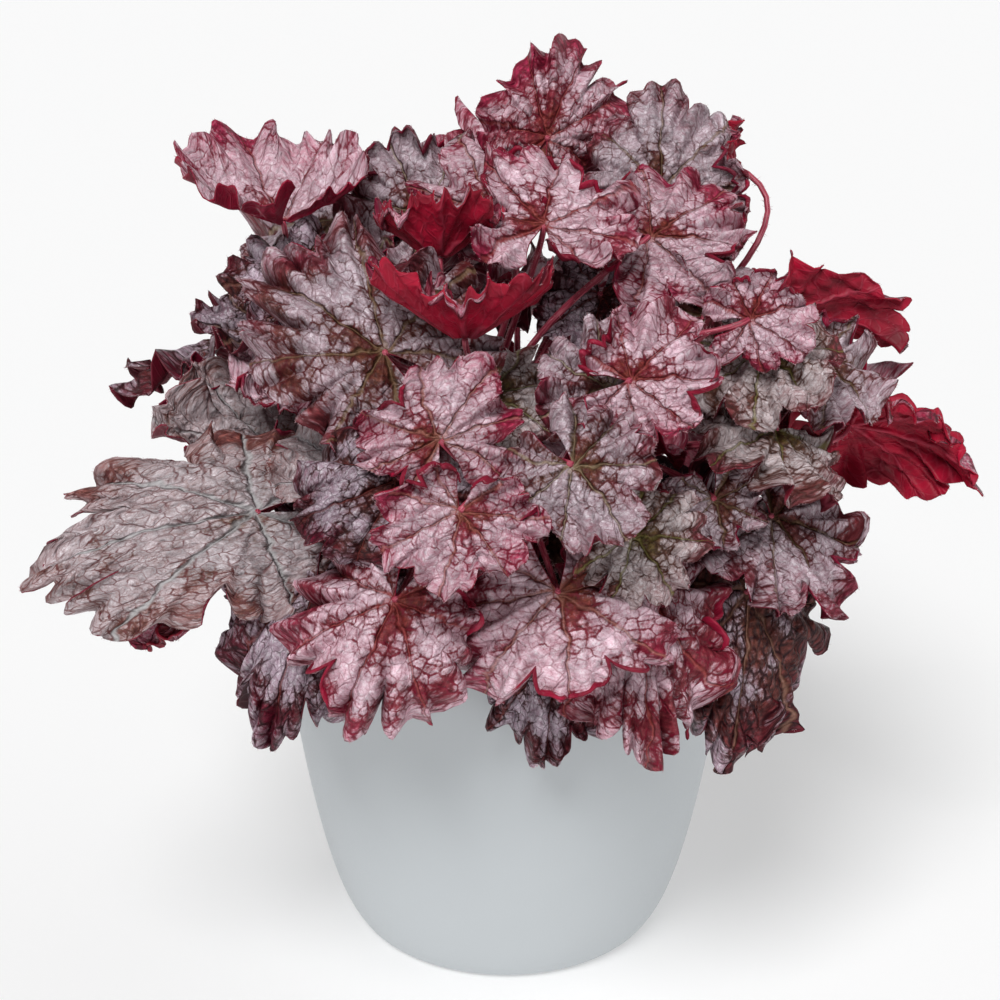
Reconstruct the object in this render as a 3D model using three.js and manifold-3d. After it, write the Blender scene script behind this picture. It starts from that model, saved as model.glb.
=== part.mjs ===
// Heuchera (coral bells) in its nursery pot, standing in a white cover pot.
// Millimetres, +Z up. The origin is the middle of the cover pot's base, on the surface it stands on.
import * as THREE from 'three';
import { mergeVertices } from 'three/addons/utils/BufferGeometryUtils.js';
import Module from 'manifold-3d';

const wasm = await Module();
wasm.setup();

// ---- Driving dimensions -------------------------------------------------------------------------

// Cover pot: a rounded taper with a plain rim.
const POT_HEIGHT = 166;
const POT_BASE_RADIUS = 56.6;
const POT_FLARE = 33.4; // how much wider the rim is than the base
const POT_FLARE_POWER = 1.25;
const POT_ROUND_POWER = 1.93;
const POT_WALL = 3.5;
const POT_FLOOR = 5;
const POT_STEPS = 6;
const POT_SIDES = 32;

const CLEARANCE = 0.3; // between pieces that rest on each other

// Nursery pot: thin black plastic with a rolled lip and drain holes.
const NURSERY_BASE_RADIUS = 54;
const NURSERY_TOP_RADIUS = 80;
const NURSERY_WALL = 1.6;
const NURSERY_LIP_RADIUS = 84.5;
const NURSERY_LIP_BOTTOM = 165;
const NURSERY_TOP = 172;
const NURSERY_SIDES = 28;
const DRAIN_COUNT = 6;
const DRAIN_RADIUS = 5;
const DRAIN_CIRCLE = 36;

// Potting soil: fills the nursery pot and mounds a little towards the crown.
const SOIL_EDGE_HEIGHT = 157;
const SOIL_MIDDLE_HEIGHT = 162;

// Crown: the woody rootstock that the petioles grow from, sunk in a plain hole in the soil.
const CROWN_RADIUS = 40;
const CROWN_BOTTOM = 138;
const CROWN_SHOULDER = 160;
const CROWN_TOP = 171;
const CROWN_SIDES = 20;
const SOCKET_BOTTOM = 152;
const SOCKET_SPACING = 4.7; // radius of socket n is this times the root of n
const SOCKET_SIDES = 4;
const GOLDEN_ANGLE = Math.PI * (3 - Math.sqrt(5));

// Leaves.
const BLADE_THICKNESS = 0.8;
const PETIOLE_RADIUS = 1.7;
const PETIOLE_SIDES = 3;
const PETIOLE_STEPS = 5; // the first of them stands upright in the crown
const LOBES = 7;
const LOBE_ANGLE = THREE.MathUtils.degToRad(45);
const BASE_SHORTENING = 0.34; // how much shorter the lobes beside the petiole are than the tip lobe
const BASE_POWER = 1.4;
const NOTCH_DEPTH = 0.2;
const NOTCH_POWER = 4;
const TOOTH_DEPTH = 0.03;
const LOBE_VARIATION = 0.1;
const PLEAT = 0.07; // the blade stands proud between its sunk veins, as a share of its length
const RUFFLE = 0.17; // wave of the margin, as a share of the blade's length
const RING = 0.6; // where the blade's middle ring of points lies, from the petiole to the margin
const BASE_LOBE_BEND = 0.4; // share of the midrib's bend that the lobes behind the petiole take

// Small moves that keep a blade clear of its neighbours, tried from the least to the most effort.
const LEAF_GAP = 0.2;
const MOVE_EFFORTS = 6;
const MOVE_OUT = 3; // mm along the upper face
const MOVE_TIP = 5; // degrees about the blade's width
const MOVE_ROLL = 6; // degrees about the midrib
const MOVE_DIRECTIONS = [[1, 0, 0], [-1, 0, 0], [0, 1, 0], [0, -1, 0], [0, 0, 1], [0, 0, -1],
    [1, 1, 0], [1, -1, 0], [-1, 1, 0], [-1, -1, 0]];

// Runs that a petiole may take, tried in this order.
const SOCKET_SHARE = 0.27; // a petiole rises from this share of its blade's distance from the middle
const PETIOLE_SWINGS = [0, 8, -8, 16, -16, 26, -26, 38, -38];
const PETIOLE_LEANS = [0.3, 1];
const PETIOLE_RISES = [45, 25, 65, 85];
const PETIOLE_REACHES = [30, 15, 45, 60];

const X_AXIS = new THREE.Vector3(1, 0, 0);
const Y_AXIS = new THREE.Vector3(0, 1, 0);

// Each leaf: where its petiole meets the blade, its tip, and which way its upper face looks.
// Then its width over its length, and in degrees its cone (+ funnel, - umbrella), how its margin rolls
// (+ up, - under), the bend of its midrib and across it (+ down at the ends), and its twist; its tone.
const PINK = 0xc9929f;
const SILVER = 0xb5a6b0;
const CREAM = 0xc2b5aa;
const OLIVE = 0x8b7f6c;
const MAROON = 0x5a2230;
const CRIMSON = 0x8c1230;

const LEAVES = [
    // the large ones that the others make way for
    [[-86, -75, 202], [-171, -95, 183], [-0.2, -1.6, 1.6], 0.5, 0, -10, 35, 30, 0, CREAM],
    [[17, -118, 193], [24, -132, 150], [0, -2, 1], 1.25, 0, -20, 30, 40, 0, PINK],
    [[-41, -78, 263], [-90, -52, 288], [-0.7, -1.6, 1.8], 0.8, 0, 0, 30, 30, 0, SILVER],
    [[-15, -138, 231], [-21, -150, 204], [0, -2, 1], 1.1, 0, 20, 20, 20, 0, PINK],
    [[21, -130, 244], [42, -142, 223], [0, -2, 1], 1.05, 0, 10, 25, 25, 0, SILVER],
    [[40, -108, 266], [77, -100, 263], [0, -2, 1.6], 0.85, 0, 10, 30, 25, 0, PINK],
    // front, over the rim
    [[-36, -118, 191], [-56, -126, 143], [-0.4, -2, 0.6], 0.85, 0, -20, 30, 50, 0, PINK],
    [[47, -104, 185], [48, -118, 122], [0.3, -2, 0.3], 0.65, 0, -10, 25, 80, 0, PINK],
    [[16, -103, 165], [14, -108, 112], [0, -2, 0], 0.6, 0, -10, 20, 70, 0, MAROON],
    [[84, -72, 172], [71, -98, 106], [0.6, -2, 0.2], 0.65, 0, -10, 20, 80, 0, MAROON],
    [[-64, -84, 182], [-80, -104, 126], [-0.5, -2, 0.3], 0.7, 0, -10, 30, 70, 0, MAROON],
    [[42, -112, 211], [58, -120, 190], [0.3, -2, 1], 1.1, 0, 0, 10, 20, 0, OLIVE],
    [[32, -100, 264], [8, -95, 274], [-0.6, -2, 2], 1.1, 10, 0, 10, 20, 0, SILVER],
    [[-22, -108, 243], [-32, -98, 268], [0, -2, 0.8], 1.2, 10, 0, 10, 20, 0, PINK],
    [[-35, -105, 228], [-70, -102, 207], [-0.5, -2, 1.2], 0.8, 0, -10, 30, 30, 0, MAROON],
    // left
    [[-54, -95, 231], [-84, -97, 226], [-0.3, -2, 1.6], 1.0, 0, 0, 20, 20, 0, CREAM],
    [[-84, -25, 216], [-140, -40, 221], [0, -1, 2], 0.7, 10, 20, 10, 10, 0, CREAM],
    [[-78, -30, 231], [-102, -32, 236], [0, -1, 2], 0.9, 20, 0, 10, 10, 0, PINK],
    [[-84, -15, 249], [-115, -20, 254], [0, -0.6, 2], 0.8, 10, 20, 10, 10, 0, MAROON],
    [[-72, -20, 262], [-91, -10, 284], [0, -1.6, 1], 0.9, 10, 0, 10, 20, 0, MAROON],
    [[-114, -55, 176], [-131, -60, 133], [-1, -1, 0], 0.5, 0, 0, 20, 60, 0, CRIMSON],
    // right
    [[92, -60, 193], [120, -82, 165], [0.6, -1.6, 1.5], 0.8, 0, 0, 30, 20, 0, SILVER],
    [[71, -84, 212], [78, -92, 190], [0.2, -1.6, 1.6], 1.1, 0, 0, 10, 20, 0, SILVER],
    [[94, -55, 222], [64, -82, 209], [0, -1.6, 1.8], 0.9, 0, 0, 20, 20, 0, OLIVE],
    [[85, -50, 250], [106, -62, 230], [0.5, -1.6, 1.6], 1.1, 0, 0, 10, 20, 0, OLIVE],
    [[83, -45, 259], [106, -45, 267], [0, -1.6, 1], 1.0, 10, 0, 10, 10, 0, PINK],
    [[100, -12, 252], [148, -8, 237], [0, 1.6, 1], 0.42, 10, 0, 60, 20, 0, CRIMSON],
    [[129, 0, 207], [184, -8, 182], [0.1, 2, 1], 0.46, 0, -20, 30, 30, 0, CRIMSON],
    [[112, -36, 246], [134, -44, 226], [0.3, -1.6, 1], 1.1, 0, 0, 10, 20, 0, SILVER],
    // top
    [[-14, -82, 269], [-16, -102, 296], [0, 0.4, 2], 1.5, 40, 10, 0, 0, 0, CRIMSON],
    [[-23, -50, 281], [-21, -66, 306], [0, 0.4, 2], 1.4, 40, 10, 0, 0, 0, CRIMSON],
    [[-80, -10, 274], [-97, 18, 302], [0, -0.2, 2], 1.15, 30, 10, 0, 0, 0, PINK],
    [[-28, 5, 286], [-50, 25, 320], [0, -2, 1], 0.95, 10, 0, 10, 10, 0, SILVER],
    [[-3, -24, 298], [-18, -4, 319], [0, -2, 1], 1.2, 10, 0, 10, 10, 0, PINK],
    [[13, -40, 296], [19, -20, 320], [0, -2, 1.4], 1.3, 10, 0, 10, 10, 0, PINK],
    [[14, 10, 313], [31, 25, 350], [0.3, -2, 0.8], 0.72, 0, 0, 10, 60, 0, PINK],
    [[56, 0, 297], [55, 22, 331], [0, -2, 1], 0.95, 0, 0, 10, 20, 0, SILVER],
    [[84, 40, 296], [87, 45, 314], [-1, 0.5, 0.5], 0.6, 0, 0, 10, 30, 0, CRIMSON],
    [[73, 10, 289], [92, 10, 306], [0, -2, 1], 1.0, 0, 0, 10, 20, 0, PINK],
    [[50, -30, 289], [92, -38, 290], [0, -1.6, 1.6], 0.75, 0, 0, 20, 20, 0, PINK],
    [[69, -50, 267], [90, -40, 279], [0, -2, 1], 1.2, 0, 0, 20, 20, 0, SILVER],
    // in the shade of the others
    [[34, -12, 262], [30, -28, 240], [0, -1.6, 1], 1.0, 0, 0, 10, 20, 0, MAROON],
    [[-6, -66, 244], [-2, -84, 222], [0, -2, 1], 1.1, 0, 0, 10, 20, 0, OLIVE],
];

// The far side and the inside of the mound, in tiers. Each has the radius and height its petioles end at,
// how many leaves it has, the first and last one's bearing in degrees from +X, and how long and how steep
// its blades lie.
const TIERS = [
    [104, 186, 5, 12, 172, 60, 65],
    [106, 236, 5, 20, 160, 56, 38],
    [70, 280, 4, 30, 150, 50, 10],
    [28, 250, 2, 50, 130, 34, 5],
    [50, 215, 2, 245, 300, 38, 10],
];
const TIER_TONES = [MAROON, SILVER, PINK];
const TIER_UNEVENNESS = 7; // mm and degrees

function tierLeaves() {
    const random = randomSource(404);
    const uneven = () => TIER_UNEVENNESS * (2 * random() - 1);
    const rows = [];
    for (const [radius, height, count, first, last, length, fall] of TIERS) {
        for (let i = 0; i < count; i++) {
            const bearing = THREE.MathUtils.degToRad(first + (last - first) * i / (count - 1) + uneven());
            const slope = THREE.MathUtils.degToRad(fall + uneven());
            const outward = new THREE.Vector3(Math.cos(bearing), Math.sin(bearing), 0);
            const hub = outward.clone().multiplyScalar(radius + uneven()).setZ(height + uneven());
            const along = outward.clone().multiplyScalar(Math.cos(slope)).setZ(-Math.sin(slope));
            const face = outward.clone().multiplyScalar(Math.sin(slope)).setZ(Math.cos(slope));
            const tip = hub.clone().addScaledVector(along, length + uneven());
            const tone = TIER_TONES[rows.length % TIER_TONES.length];
            rows.push([hub.toArray(), tip.toArray(), face.toArray(), 1, 5, 0, 25, 25, 0, tone]);
        }
    }
    return rows;
}

// ---- Small tools --------------------------------------------------------------------------------

/** A repeatable random number source in 0..1. */
function randomSource(seed) {
    let state = seed * 2654435761 >>> 0;
    return () => {
        state = (state + 0x6d2b79f5) >>> 0;
        let t = Math.imul(state ^ (state >>> 15), 1 | state);
        t = (t + Math.imul(t ^ (t >>> 7), 61 | t)) ^ t;
        return ((t ^ (t >>> 14)) >>> 0) / 4294967296;
    };
}

/** A closed three.js geometry as a solid. */
function toSolid(geometry) {
    const bare = geometry.clone();
    for (const name of ['normal', 'uv']) bare.deleteAttribute(name);
    const merged = mergeVertices(bare, 1e-4);
    return new wasm.Manifold(new wasm.Mesh({
        numProp: 3,
        vertProperties: new Float32Array(merged.attributes.position.array),
        triVerts: new Uint32Array(merged.index.array),
    }));
}

/** A solid as a three.js geometry. */
function toGeometry(solid) {
    const mesh = solid.getMesh();
    const geometry = new THREE.BufferGeometry();
    geometry.setAttribute('position', new THREE.BufferAttribute(mesh.vertProperties, 3));
    geometry.setIndex(new THREE.BufferAttribute(mesh.triVerts, 1));
    geometry.computeVertexNormals();
    return geometry;
}

/** A solid of revolution round Z from [radius, z] points that run up the outside and back to the axis. */
function turned(points, sides) {
    const profile = points.map(([radius, z]) => new THREE.Vector2(radius, z));
    const geometry = new THREE.LatheGeometry(profile, sides);
    geometry.rotateX(Math.PI / 2);
    return toSolid(geometry);
}

/** An upright round or many-sided prism between two heights. */
function post(x, y, bottom, top, radius, sides) {
    const geometry = new THREE.CylinderGeometry(radius, radius, top - bottom, sides);
    geometry.rotateX(Math.PI / 2);
    geometry.translate(x, y, (bottom + top) / 2);
    return toSolid(geometry);
}

function material(color, roughness) {
    return new THREE.MeshStandardMaterial({ color, roughness, metalness: 0 });
}

function namedMesh(name, solid, surface) {
    const mesh = new THREE.Mesh(toGeometry(solid), surface);
    mesh.name = name;
    return mesh;
}

// ---- Pots, soil and crown -----------------------------------------------------------------------

function coverPotRadius(z) {
    const share = 1 - (1 - z / POT_HEIGHT) ** POT_FLARE_POWER;
    return POT_BASE_RADIUS + POT_FLARE * share ** (1 / POT_ROUND_POWER);
}

function coverPot() {
    const outside = [];
    const inside = [];
    for (let i = 0; i <= POT_STEPS; i++) {
        const z = POT_HEIGHT * (i / POT_STEPS) ** 1.6;
        outside.push([coverPotRadius(z), z]);
        if (z > POT_FLOOR) inside.unshift([coverPotRadius(z) - POT_WALL, z]);
    }
    const floorRadius = coverPotRadius(POT_FLOOR) - POT_WALL;
    return turned([[0, 0], ...outside, ...inside, [floorRadius, POT_FLOOR], [0, POT_FLOOR]], POT_SIDES);
}

/** Inside radius of the nursery pot at a height. */
function nurseryInside(z) {
    const share = (z - POT_FLOOR) / (NURSERY_TOP - POT_FLOOR);
    return THREE.MathUtils.lerp(NURSERY_BASE_RADIUS, NURSERY_TOP_RADIUS, share) - NURSERY_WALL;
}

function nurseryPot() {
    const bottom = POT_FLOOR + CLEARANCE;
    const floor = bottom + NURSERY_WALL;
    const lipWall = nurseryInside(NURSERY_LIP_BOTTOM) + NURSERY_WALL;
    let pot = turned([
        [0, bottom],
        [NURSERY_BASE_RADIUS, bottom],
        [lipWall, NURSERY_LIP_BOTTOM],
        [NURSERY_LIP_RADIUS, NURSERY_LIP_BOTTOM],
        [NURSERY_LIP_RADIUS, NURSERY_TOP - 1],
        [NURSERY_LIP_RADIUS - 1, NURSERY_TOP],
        [nurseryInside(NURSERY_TOP), NURSERY_TOP],
        [nurseryInside(floor), floor],
        [0, floor],
    ], NURSERY_SIDES);
    for (let i = 0; i < DRAIN_COUNT; i++) {
        const angle = 2 * Math.PI * i / DRAIN_COUNT;
        const x = DRAIN_CIRCLE * Math.cos(angle);
        const y = DRAIN_CIRCLE * Math.sin(angle);
        pot = pot.subtract(post(x, y, bottom - 2, floor + 2, DRAIN_RADIUS, 8));
    }
    return pot;
}

function soil() {
    const bottom = POT_FLOOR + NURSERY_WALL + 2 * CLEARANCE;
    const hole = CROWN_RADIUS + CLEARANCE;
    return turned([
        [0, bottom],
        [nurseryInside(bottom) - CLEARANCE, bottom],
        [nurseryInside(SOIL_EDGE_HEIGHT) - CLEARANCE, SOIL_EDGE_HEIGHT],
        [hole, SOIL_MIDDLE_HEIGHT],
        [hole, CROWN_BOTTOM - CLEARANCE],
        [0, CROWN_BOTTOM - CLEARANCE],
    ], NURSERY_SIDES);
}

/** Where petiole number n stands in the crown, from the middle outwards in a sunflower spiral. */
function socketPlace(n) {
    const radius = SOCKET_SPACING * Math.sqrt(n + 0.5);
    return new THREE.Vector2(radius * Math.cos(n * GOLDEN_ANGLE), radius * Math.sin(n * GOLDEN_ANGLE));
}

function crown(socketCount) {
    let solid = turned([
        [0, CROWN_BOTTOM],
        [CROWN_RADIUS - 4, CROWN_BOTTOM],
        [CROWN_RADIUS, CROWN_BOTTOM + 6],
        [CROWN_RADIUS, CROWN_SHOULDER],
        [CROWN_RADIUS * 0.8, CROWN_SHOULDER + (CROWN_TOP - CROWN_SHOULDER) * 0.6],
        [CROWN_RADIUS * 0.4, CROWN_TOP - 1],
        [0, CROWN_TOP],
    ], CROWN_SIDES);
    const acrossFlats = (PETIOLE_RADIUS + CLEARANCE) / Math.cos(Math.PI / SOCKET_SIDES);
    for (let n = 0; n < socketCount; n++) {
        const place = socketPlace(n);
        solid = solid.subtract(post(place.x, place.y, SOCKET_BOTTOM, CROWN_TOP + 2, acrossFlats, SOCKET_SIDES));
    }
    return solid;
}

// ---- Leaves -------------------------------------------------------------------------------------

/** A value that runs smoothly from lobe to lobe; phi is the angle round the petiole's end. */
function acrossLobes(values, phi) {
    const place = phi / LOBE_ANGLE + (LOBES - 1) / 2;
    const below = THREE.MathUtils.clamp(Math.floor(place), 0, LOBES - 1);
    const above = Math.min(below + 1, LOBES - 1);
    return THREE.MathUtils.lerp(values[below], values[above], THREE.MathUtils.smoothstep(place - below, 0, 1));
}

/** Bends a strip: x runs along it and z above it; + bends the far end down. */
function bend(x, z, curvature) {
    if (Math.abs(curvature) < 1e-6) return [x, z];
    const angle = curvature * x;
    return [
        Math.sin(angle) / curvature + z * Math.sin(angle),
        (Math.cos(angle) - 1) / curvature + z * Math.cos(angle),
    ];
}

class Blade {
    constructor([hub, tip, face, width, cone, roll, arch, cup, twist, tone], number) {
        const random = randomSource(number);
        this.number = number;
        this.tone = tone;
        this.width = width;
        this.cone = THREE.MathUtils.degToRad(cone);
        this.roll = THREE.MathUtils.degToRad(roll);
        this.arch = THREE.MathUtils.degToRad(arch);
        this.cup = THREE.MathUtils.degToRad(cup);
        this.twist = THREE.MathUtils.degToRad(twist);
        this.lobeLengths = Array.from({ length: LOBES }, () => 1 + LOBE_VARIATION * (2 * random() - 1));
        this.lobeLengths[(LOBES - 1) / 2] = 1;
        this.lobeHeights = Array.from({ length: LOBES }, () => 2 * random() - 1);
        this.wavePhase = 2 * Math.PI * random();
        this.hub = new THREE.Vector3(...hub);
        this.tip = new THREE.Vector3(...tip);
        this.face = new THREE.Vector3(...face).normalize();

        // The blade's length and turn put its bent tip on the given point.
        const chord = this.tip.clone().sub(this.hub);
        this.length = 1;
        const unitTip = this.local(0, 1);
        this.length = chord.length() / Math.hypot(unitTip.x, unitTip.z);
        const along = chord.clone().normalize();
        const across = this.face.clone().cross(along).normalize();
        const up = along.clone().cross(across);
        const frame = new THREE.Matrix4().makeBasis(along, across, up);
        const level = new THREE.Matrix4().makeRotationY(Math.atan2(unitTip.z, unitTip.x));
        this.turn = new THREE.Quaternion().setFromRotationMatrix(frame.multiply(level));
    }

    /** Sets the blade's place and turn to where it grows, after a small move to clear its neighbours. */
    move([out, tip, roll]) {
        this.place = this.hub.clone().addScaledVector(this.face, out);
        this.placedTurn = this.turn.clone()
            .multiply(new THREE.Quaternion().setFromAxisAngle(Y_AXIS, THREE.MathUtils.degToRad(tip)))
            .multiply(new THREE.Quaternion().setFromAxisAngle(X_AXIS, THREE.MathUtils.degToRad(roll)));
        this.matrix = new THREE.Matrix4().compose(this.place, this.placedTurn, new THREE.Vector3(1, 1, 1));
    }

    /** The way its petiole runs where it meets the blade: through it from below, leaning towards the tip. */
    arrival(lean) {
        return new THREE.Vector3(lean, 0, 1).normalize().applyQuaternion(this.placedTurn);
    }

    /** How far out from the middle of the plant the blade stands. */
    distanceOut() {
        return Math.hypot(this.place.x, this.place.y);
    }

    outline(phi) {
        const lobe = phi / LOBE_ANGLE;
        const t = lobe - Math.round(lobe);
        const base = 1 - BASE_SHORTENING * (Math.abs(phi) / Math.PI) ** BASE_POWER;
        const notch = 1 - NOTCH_DEPTH * (2 * Math.abs(t)) ** NOTCH_POWER;
        const teeth = 1 + TOOTH_DEPTH * Math.cos(6 * Math.PI * t);
        return this.length * base * notch * teeth * acrossLobes(this.lobeLengths, phi);
    }

    /** A point of the blade in its own frame: phi round the petiole's end, s from there to the margin. */
    local(phi, s) {
        const radius = s * this.outline(phi);
        const tilt = this.cone + this.roll * s ** 3 / 2;
        const lobe = phi / LOBE_ANGLE;
        const pleat = PLEAT * Math.sin(Math.PI * lobe) ** 2 * s * (1 - 0.5 * s);
        const wave = 0.6 * Math.cos(2 * Math.PI * lobe + this.wavePhase) + 0.7 * acrossLobes(this.lobeHeights, phi);
        const flatX = radius * Math.cos(phi) * Math.cos(tilt);
        const flatY = radius * Math.sin(phi) * Math.cos(tilt) * this.width;
        const height = radius * Math.sin(tilt) + this.length * (pleat + RUFFLE * s * s * wave);
        const share = flatX > 0 ? 1 : BASE_LOBE_BEND;
        const [x, rise] = bend(flatX, height, share * this.arch / this.length);
        const [y, z] = bend(flatY, rise, this.cup / this.length);
        const turnAngle = this.twist * flatX / this.length;
        return new THREE.Vector3(
            x,
            y * Math.cos(turnAngle) - z * Math.sin(turnAngle),
            y * Math.sin(turnAngle) + z * Math.cos(turnAngle),
        );
    }

    /** The thin closed solid of the blade in its own frame. */
    solid() {
        const middle = [this.local(0, 0)];
        const ring = [];
        const margin = [];
        for (let i = 0; i <= LOBES * 4; i++) {
            const phi = (i / 4 - LOBES / 2) * LOBE_ANGLE;
            if (i % 4 === 0) {
                ring.push(middle.length);
                middle.push(this.local(phi, RING));
            }
            margin.push(middle.length);
            middle.push(this.local(phi, 1));
        }
        const faces = [];
        for (let lobe = 0; lobe < LOBES; lobe++) {
            const [left, right] = [ring[lobe], ring[lobe + 1]];
            const [a, b, c, d, e] = margin.slice(4 * lobe, 4 * lobe + 5);
            faces.push([0, left, right], [left, a, b], [left, b, c], [left, c, right], [right, c, d], [right, d, e]);
        }
        const border = [0, ring[0], ...margin, ring[ring.length - 1]];
        return sheet(middle, faces, border, BLADE_THICKNESS);
    }
}

/** Thickens a sheet of triangles into a closed solid; border lists its rim, anticlockwise from above. */
function sheet(points, faces, border, thickness) {
    const normals = points.map(() => new THREE.Vector3());
    for (const [a, b, c] of faces) {
        const ab = points[b].clone().sub(points[a]);
        const ac = points[c].clone().sub(points[a]);
        const normal = ab.cross(ac);
        for (const corner of [a, b, c]) normals[corner].add(normal);
    }
    const count = points.length;
    const positions = new Float32Array(6 * count);
    points.forEach((point, i) => {
        const half = normals[i].normalize().multiplyScalar(thickness / 2);
        point.clone().add(half).toArray(positions, 3 * i);
        point.clone().sub(half).toArray(positions, 3 * (count + i));
    });
    const triangles = [];
    for (const [a, b, c] of faces) triangles.push(a, b, c, count + a, count + c, count + b);
    border.forEach((from, i) => {
        const to = border[(i + 1) % border.length];
        triangles.push(from, count + from, to, to, count + from, count + to);
    });
    return new wasm.Manifold(new wasm.Mesh({
        numProp: 3,
        vertProperties: positions,
        triVerts: new Uint32Array(triangles),
    }));
}

/** The run of a petiole: upright in its socket, then one sweep to the blade. */
class PetioleCurve extends THREE.Curve {
    constructor(base, hub, arrival, rise, reach, swing) {
        super();
        this.base = base;
        this.neck = base.clone().setZ(CROWN_TOP + 2);
        const side = new THREE.Vector3(-hub.y, hub.x, 0).normalize().multiplyScalar(swing);
        const lift = this.neck.clone().add(side).add(new THREE.Vector3(0, 0, rise));
        const meet = hub.clone().addScaledVector(arrival, -reach).add(side);
        this.sweep = new THREE.CubicBezierCurve3(this.neck, lift, meet, hub);
    }

    getPoint(t, target = new THREE.Vector3()) {
        const upright = 1 / PETIOLE_STEPS;
        if (t < upright) return target.copy(this.base).lerp(this.neck, t / upright);
        return this.sweep.getPoint((t - upright) / (1 - upright), target);
    }

    getUtoTmapping(u) {
        return u;
    }
}

function petioleSolid(curve) {
    const corners = Array.from({ length: PETIOLE_SIDES }, (_, i) => {
        const angle = 2 * Math.PI * i / PETIOLE_SIDES;
        return new THREE.Vector2(PETIOLE_RADIUS * Math.cos(angle), PETIOLE_RADIUS * Math.sin(angle));
    });
    const section = new THREE.Shape(corners);
    const tube = { steps: PETIOLE_STEPS, extrudePath: curve, bevelEnabled: false };
    return toSolid(new THREE.ExtrudeGeometry(section, tube));
}

// ---- Keeping the leaves clear of each other ------------------------------------------------------

/** A solid with its box, tested against others. */
class Placed {
    constructor(solid, leaf = null) {
        this.solid = solid;
        this.leaf = leaf;
        const { min, max } = solid.boundingBox();
        this.min = min;
        this.max = max;
    }

    isClearOf(other) {
        for (let axis = 0; axis < 3; axis++) {
            if (this.min[axis] > other.max[axis] + LEAF_GAP) return true;
            if (other.min[axis] > this.max[axis] + LEAF_GAP) return true;
        }
        return this.solid.minGap(other.solid, LEAF_GAP) >= LEAF_GAP;
    }

    crosses(other) {
        return !this.isClearOf(other) && this.solid.intersect(other.solid).volume() > 0;
    }
}

/** Tries each way in turn, until one is clear of all the others; else takes the one nearest to it. */
function clearest(ways, make, others) {
    let best = null;
    let fewest = Infinity;
    for (const way of ways) {
        const made = make(way);
        const met = others.filter((other) => !made.isClearOf(other)).length;
        if (met < fewest) [best, fewest] = [way, met];
        if (met === 0) break;
    }
    return make(best);
}

/** Small moves of a blade: out along its upper face, tipped and rolled about its petiole's end. */
function* bladeMoves() {
    yield [0, 0, 0];
    for (let effort = 1; effort <= MOVE_EFFORTS; effort++) {
        for (const [out, tip, roll] of MOVE_DIRECTIONS) {
            yield [MOVE_OUT * effort * out, MOVE_TIP * effort * tip, MOVE_ROLL * effort * roll];
        }
    }
}

/** Runs of a petiole: rise from the crown, reach back from the blade, lean there and swing sideways. */
function* petioleRuns() {
    for (const swing of PETIOLE_SWINGS) {
        for (const lean of PETIOLE_LEANS) {
            for (const rise of PETIOLE_RISES) {
                for (const reach of PETIOLE_REACHES) yield [rise, reach, lean, swing];
            }
        }
    }
}

function placeBlades(rows, holder) {
    const blades = [];
    rows.forEach((row, i) => {
        const blade = new Blade(row, i + 1);
        const flat = blade.solid();
        const make = (move) => {
            blade.move(move);
            return new Placed(flat.transform(blade.matrix.elements), blade);
        };
        const others = [...holder, ...blades.map((other) => other.placed)];
        blade.placed = clearest(bladeMoves(), make, others);
        blades.push(blade);
    });
    return blades;
}

/** Gives each leaf a socket, the furthest leaves first, each the free one nearest below it. */
function chooseSockets(blades) {
    const free = blades.map((_, n) => socketPlace(n));
    for (const blade of blades) {
        const wish = new THREE.Vector2(blade.place.x, blade.place.y).multiplyScalar(SOCKET_SHARE);
        free.sort((a, b) => a.distanceTo(wish) - b.distanceTo(wish));
        blade.socket = free.shift();
    }
}

function growPetioles(blades, holder) {
    const furthestFirst = [...blades].sort((a, b) => b.distanceOut() - a.distanceOut());
    chooseSockets(furthestFirst);
    const grown = [];
    for (const blade of furthestFirst) {
        const base = new THREE.Vector3(blade.socket.x, blade.socket.y, SOCKET_BOTTOM + CLEARANCE);
        const make = ([rise, reach, lean, swing]) => {
            const run = new PetioleCurve(base, blade.place, blade.arrival(lean), rise, reach, swing);
            return new Placed(petioleSolid(run), blade);
        };
        const otherBlades = blades.filter((other) => other !== blade).map((other) => other.placed);
        blade.petiole = clearest(petioleRuns(), make, [...holder, ...otherBlades, ...grown]);
        grown.push(blade.petiole);
    }
}

/** The leaves as lists: each by itself, and those that have grown through each other together. */
function grownTogether(blades) {
    const parts = blades.flatMap((blade) => [blade.placed, blade.petiole]);
    const groups = new Map(blades.map((blade) => [blade, [blade]]));
    parts.forEach((part, i) => {
        for (const other of parts.slice(i + 1)) {
            const [mine, theirs] = [groups.get(part.leaf), groups.get(other.leaf)];
            if (mine === theirs || !part.crosses(other)) continue;
            mine.push(...theirs);
            for (const blade of theirs) groups.set(blade, mine);
        }
    });
    return [...new Set(groups.values())];
}

function leafMesh(group) {
    const numbers = group.map((blade) => blade.number).sort((a, b) => a - b);
    const labels = numbers.map((number) => String(number).padStart(2, '0'));
    const [first] = group;
    const back = first.matrix.clone().invert();
    const pieces = group.flatMap((blade) => [blade.placed.solid, blade.petiole.solid]);
    const whole = pieces.reduce((sum, piece) => sum.add(piece)).transform(back.elements);
    const name = labels.length === 1 ? `leaf_${labels[0]}` : `leaves_${labels.join('_')}`;
    const mesh = namedMesh(name, whole, material(first.tone, 0.7));
    first.matrix.decompose(mesh.position, mesh.quaternion, mesh.scale);
    return mesh;
}

// ---- The plant in its pots -----------------------------------------------------------------------

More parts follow.
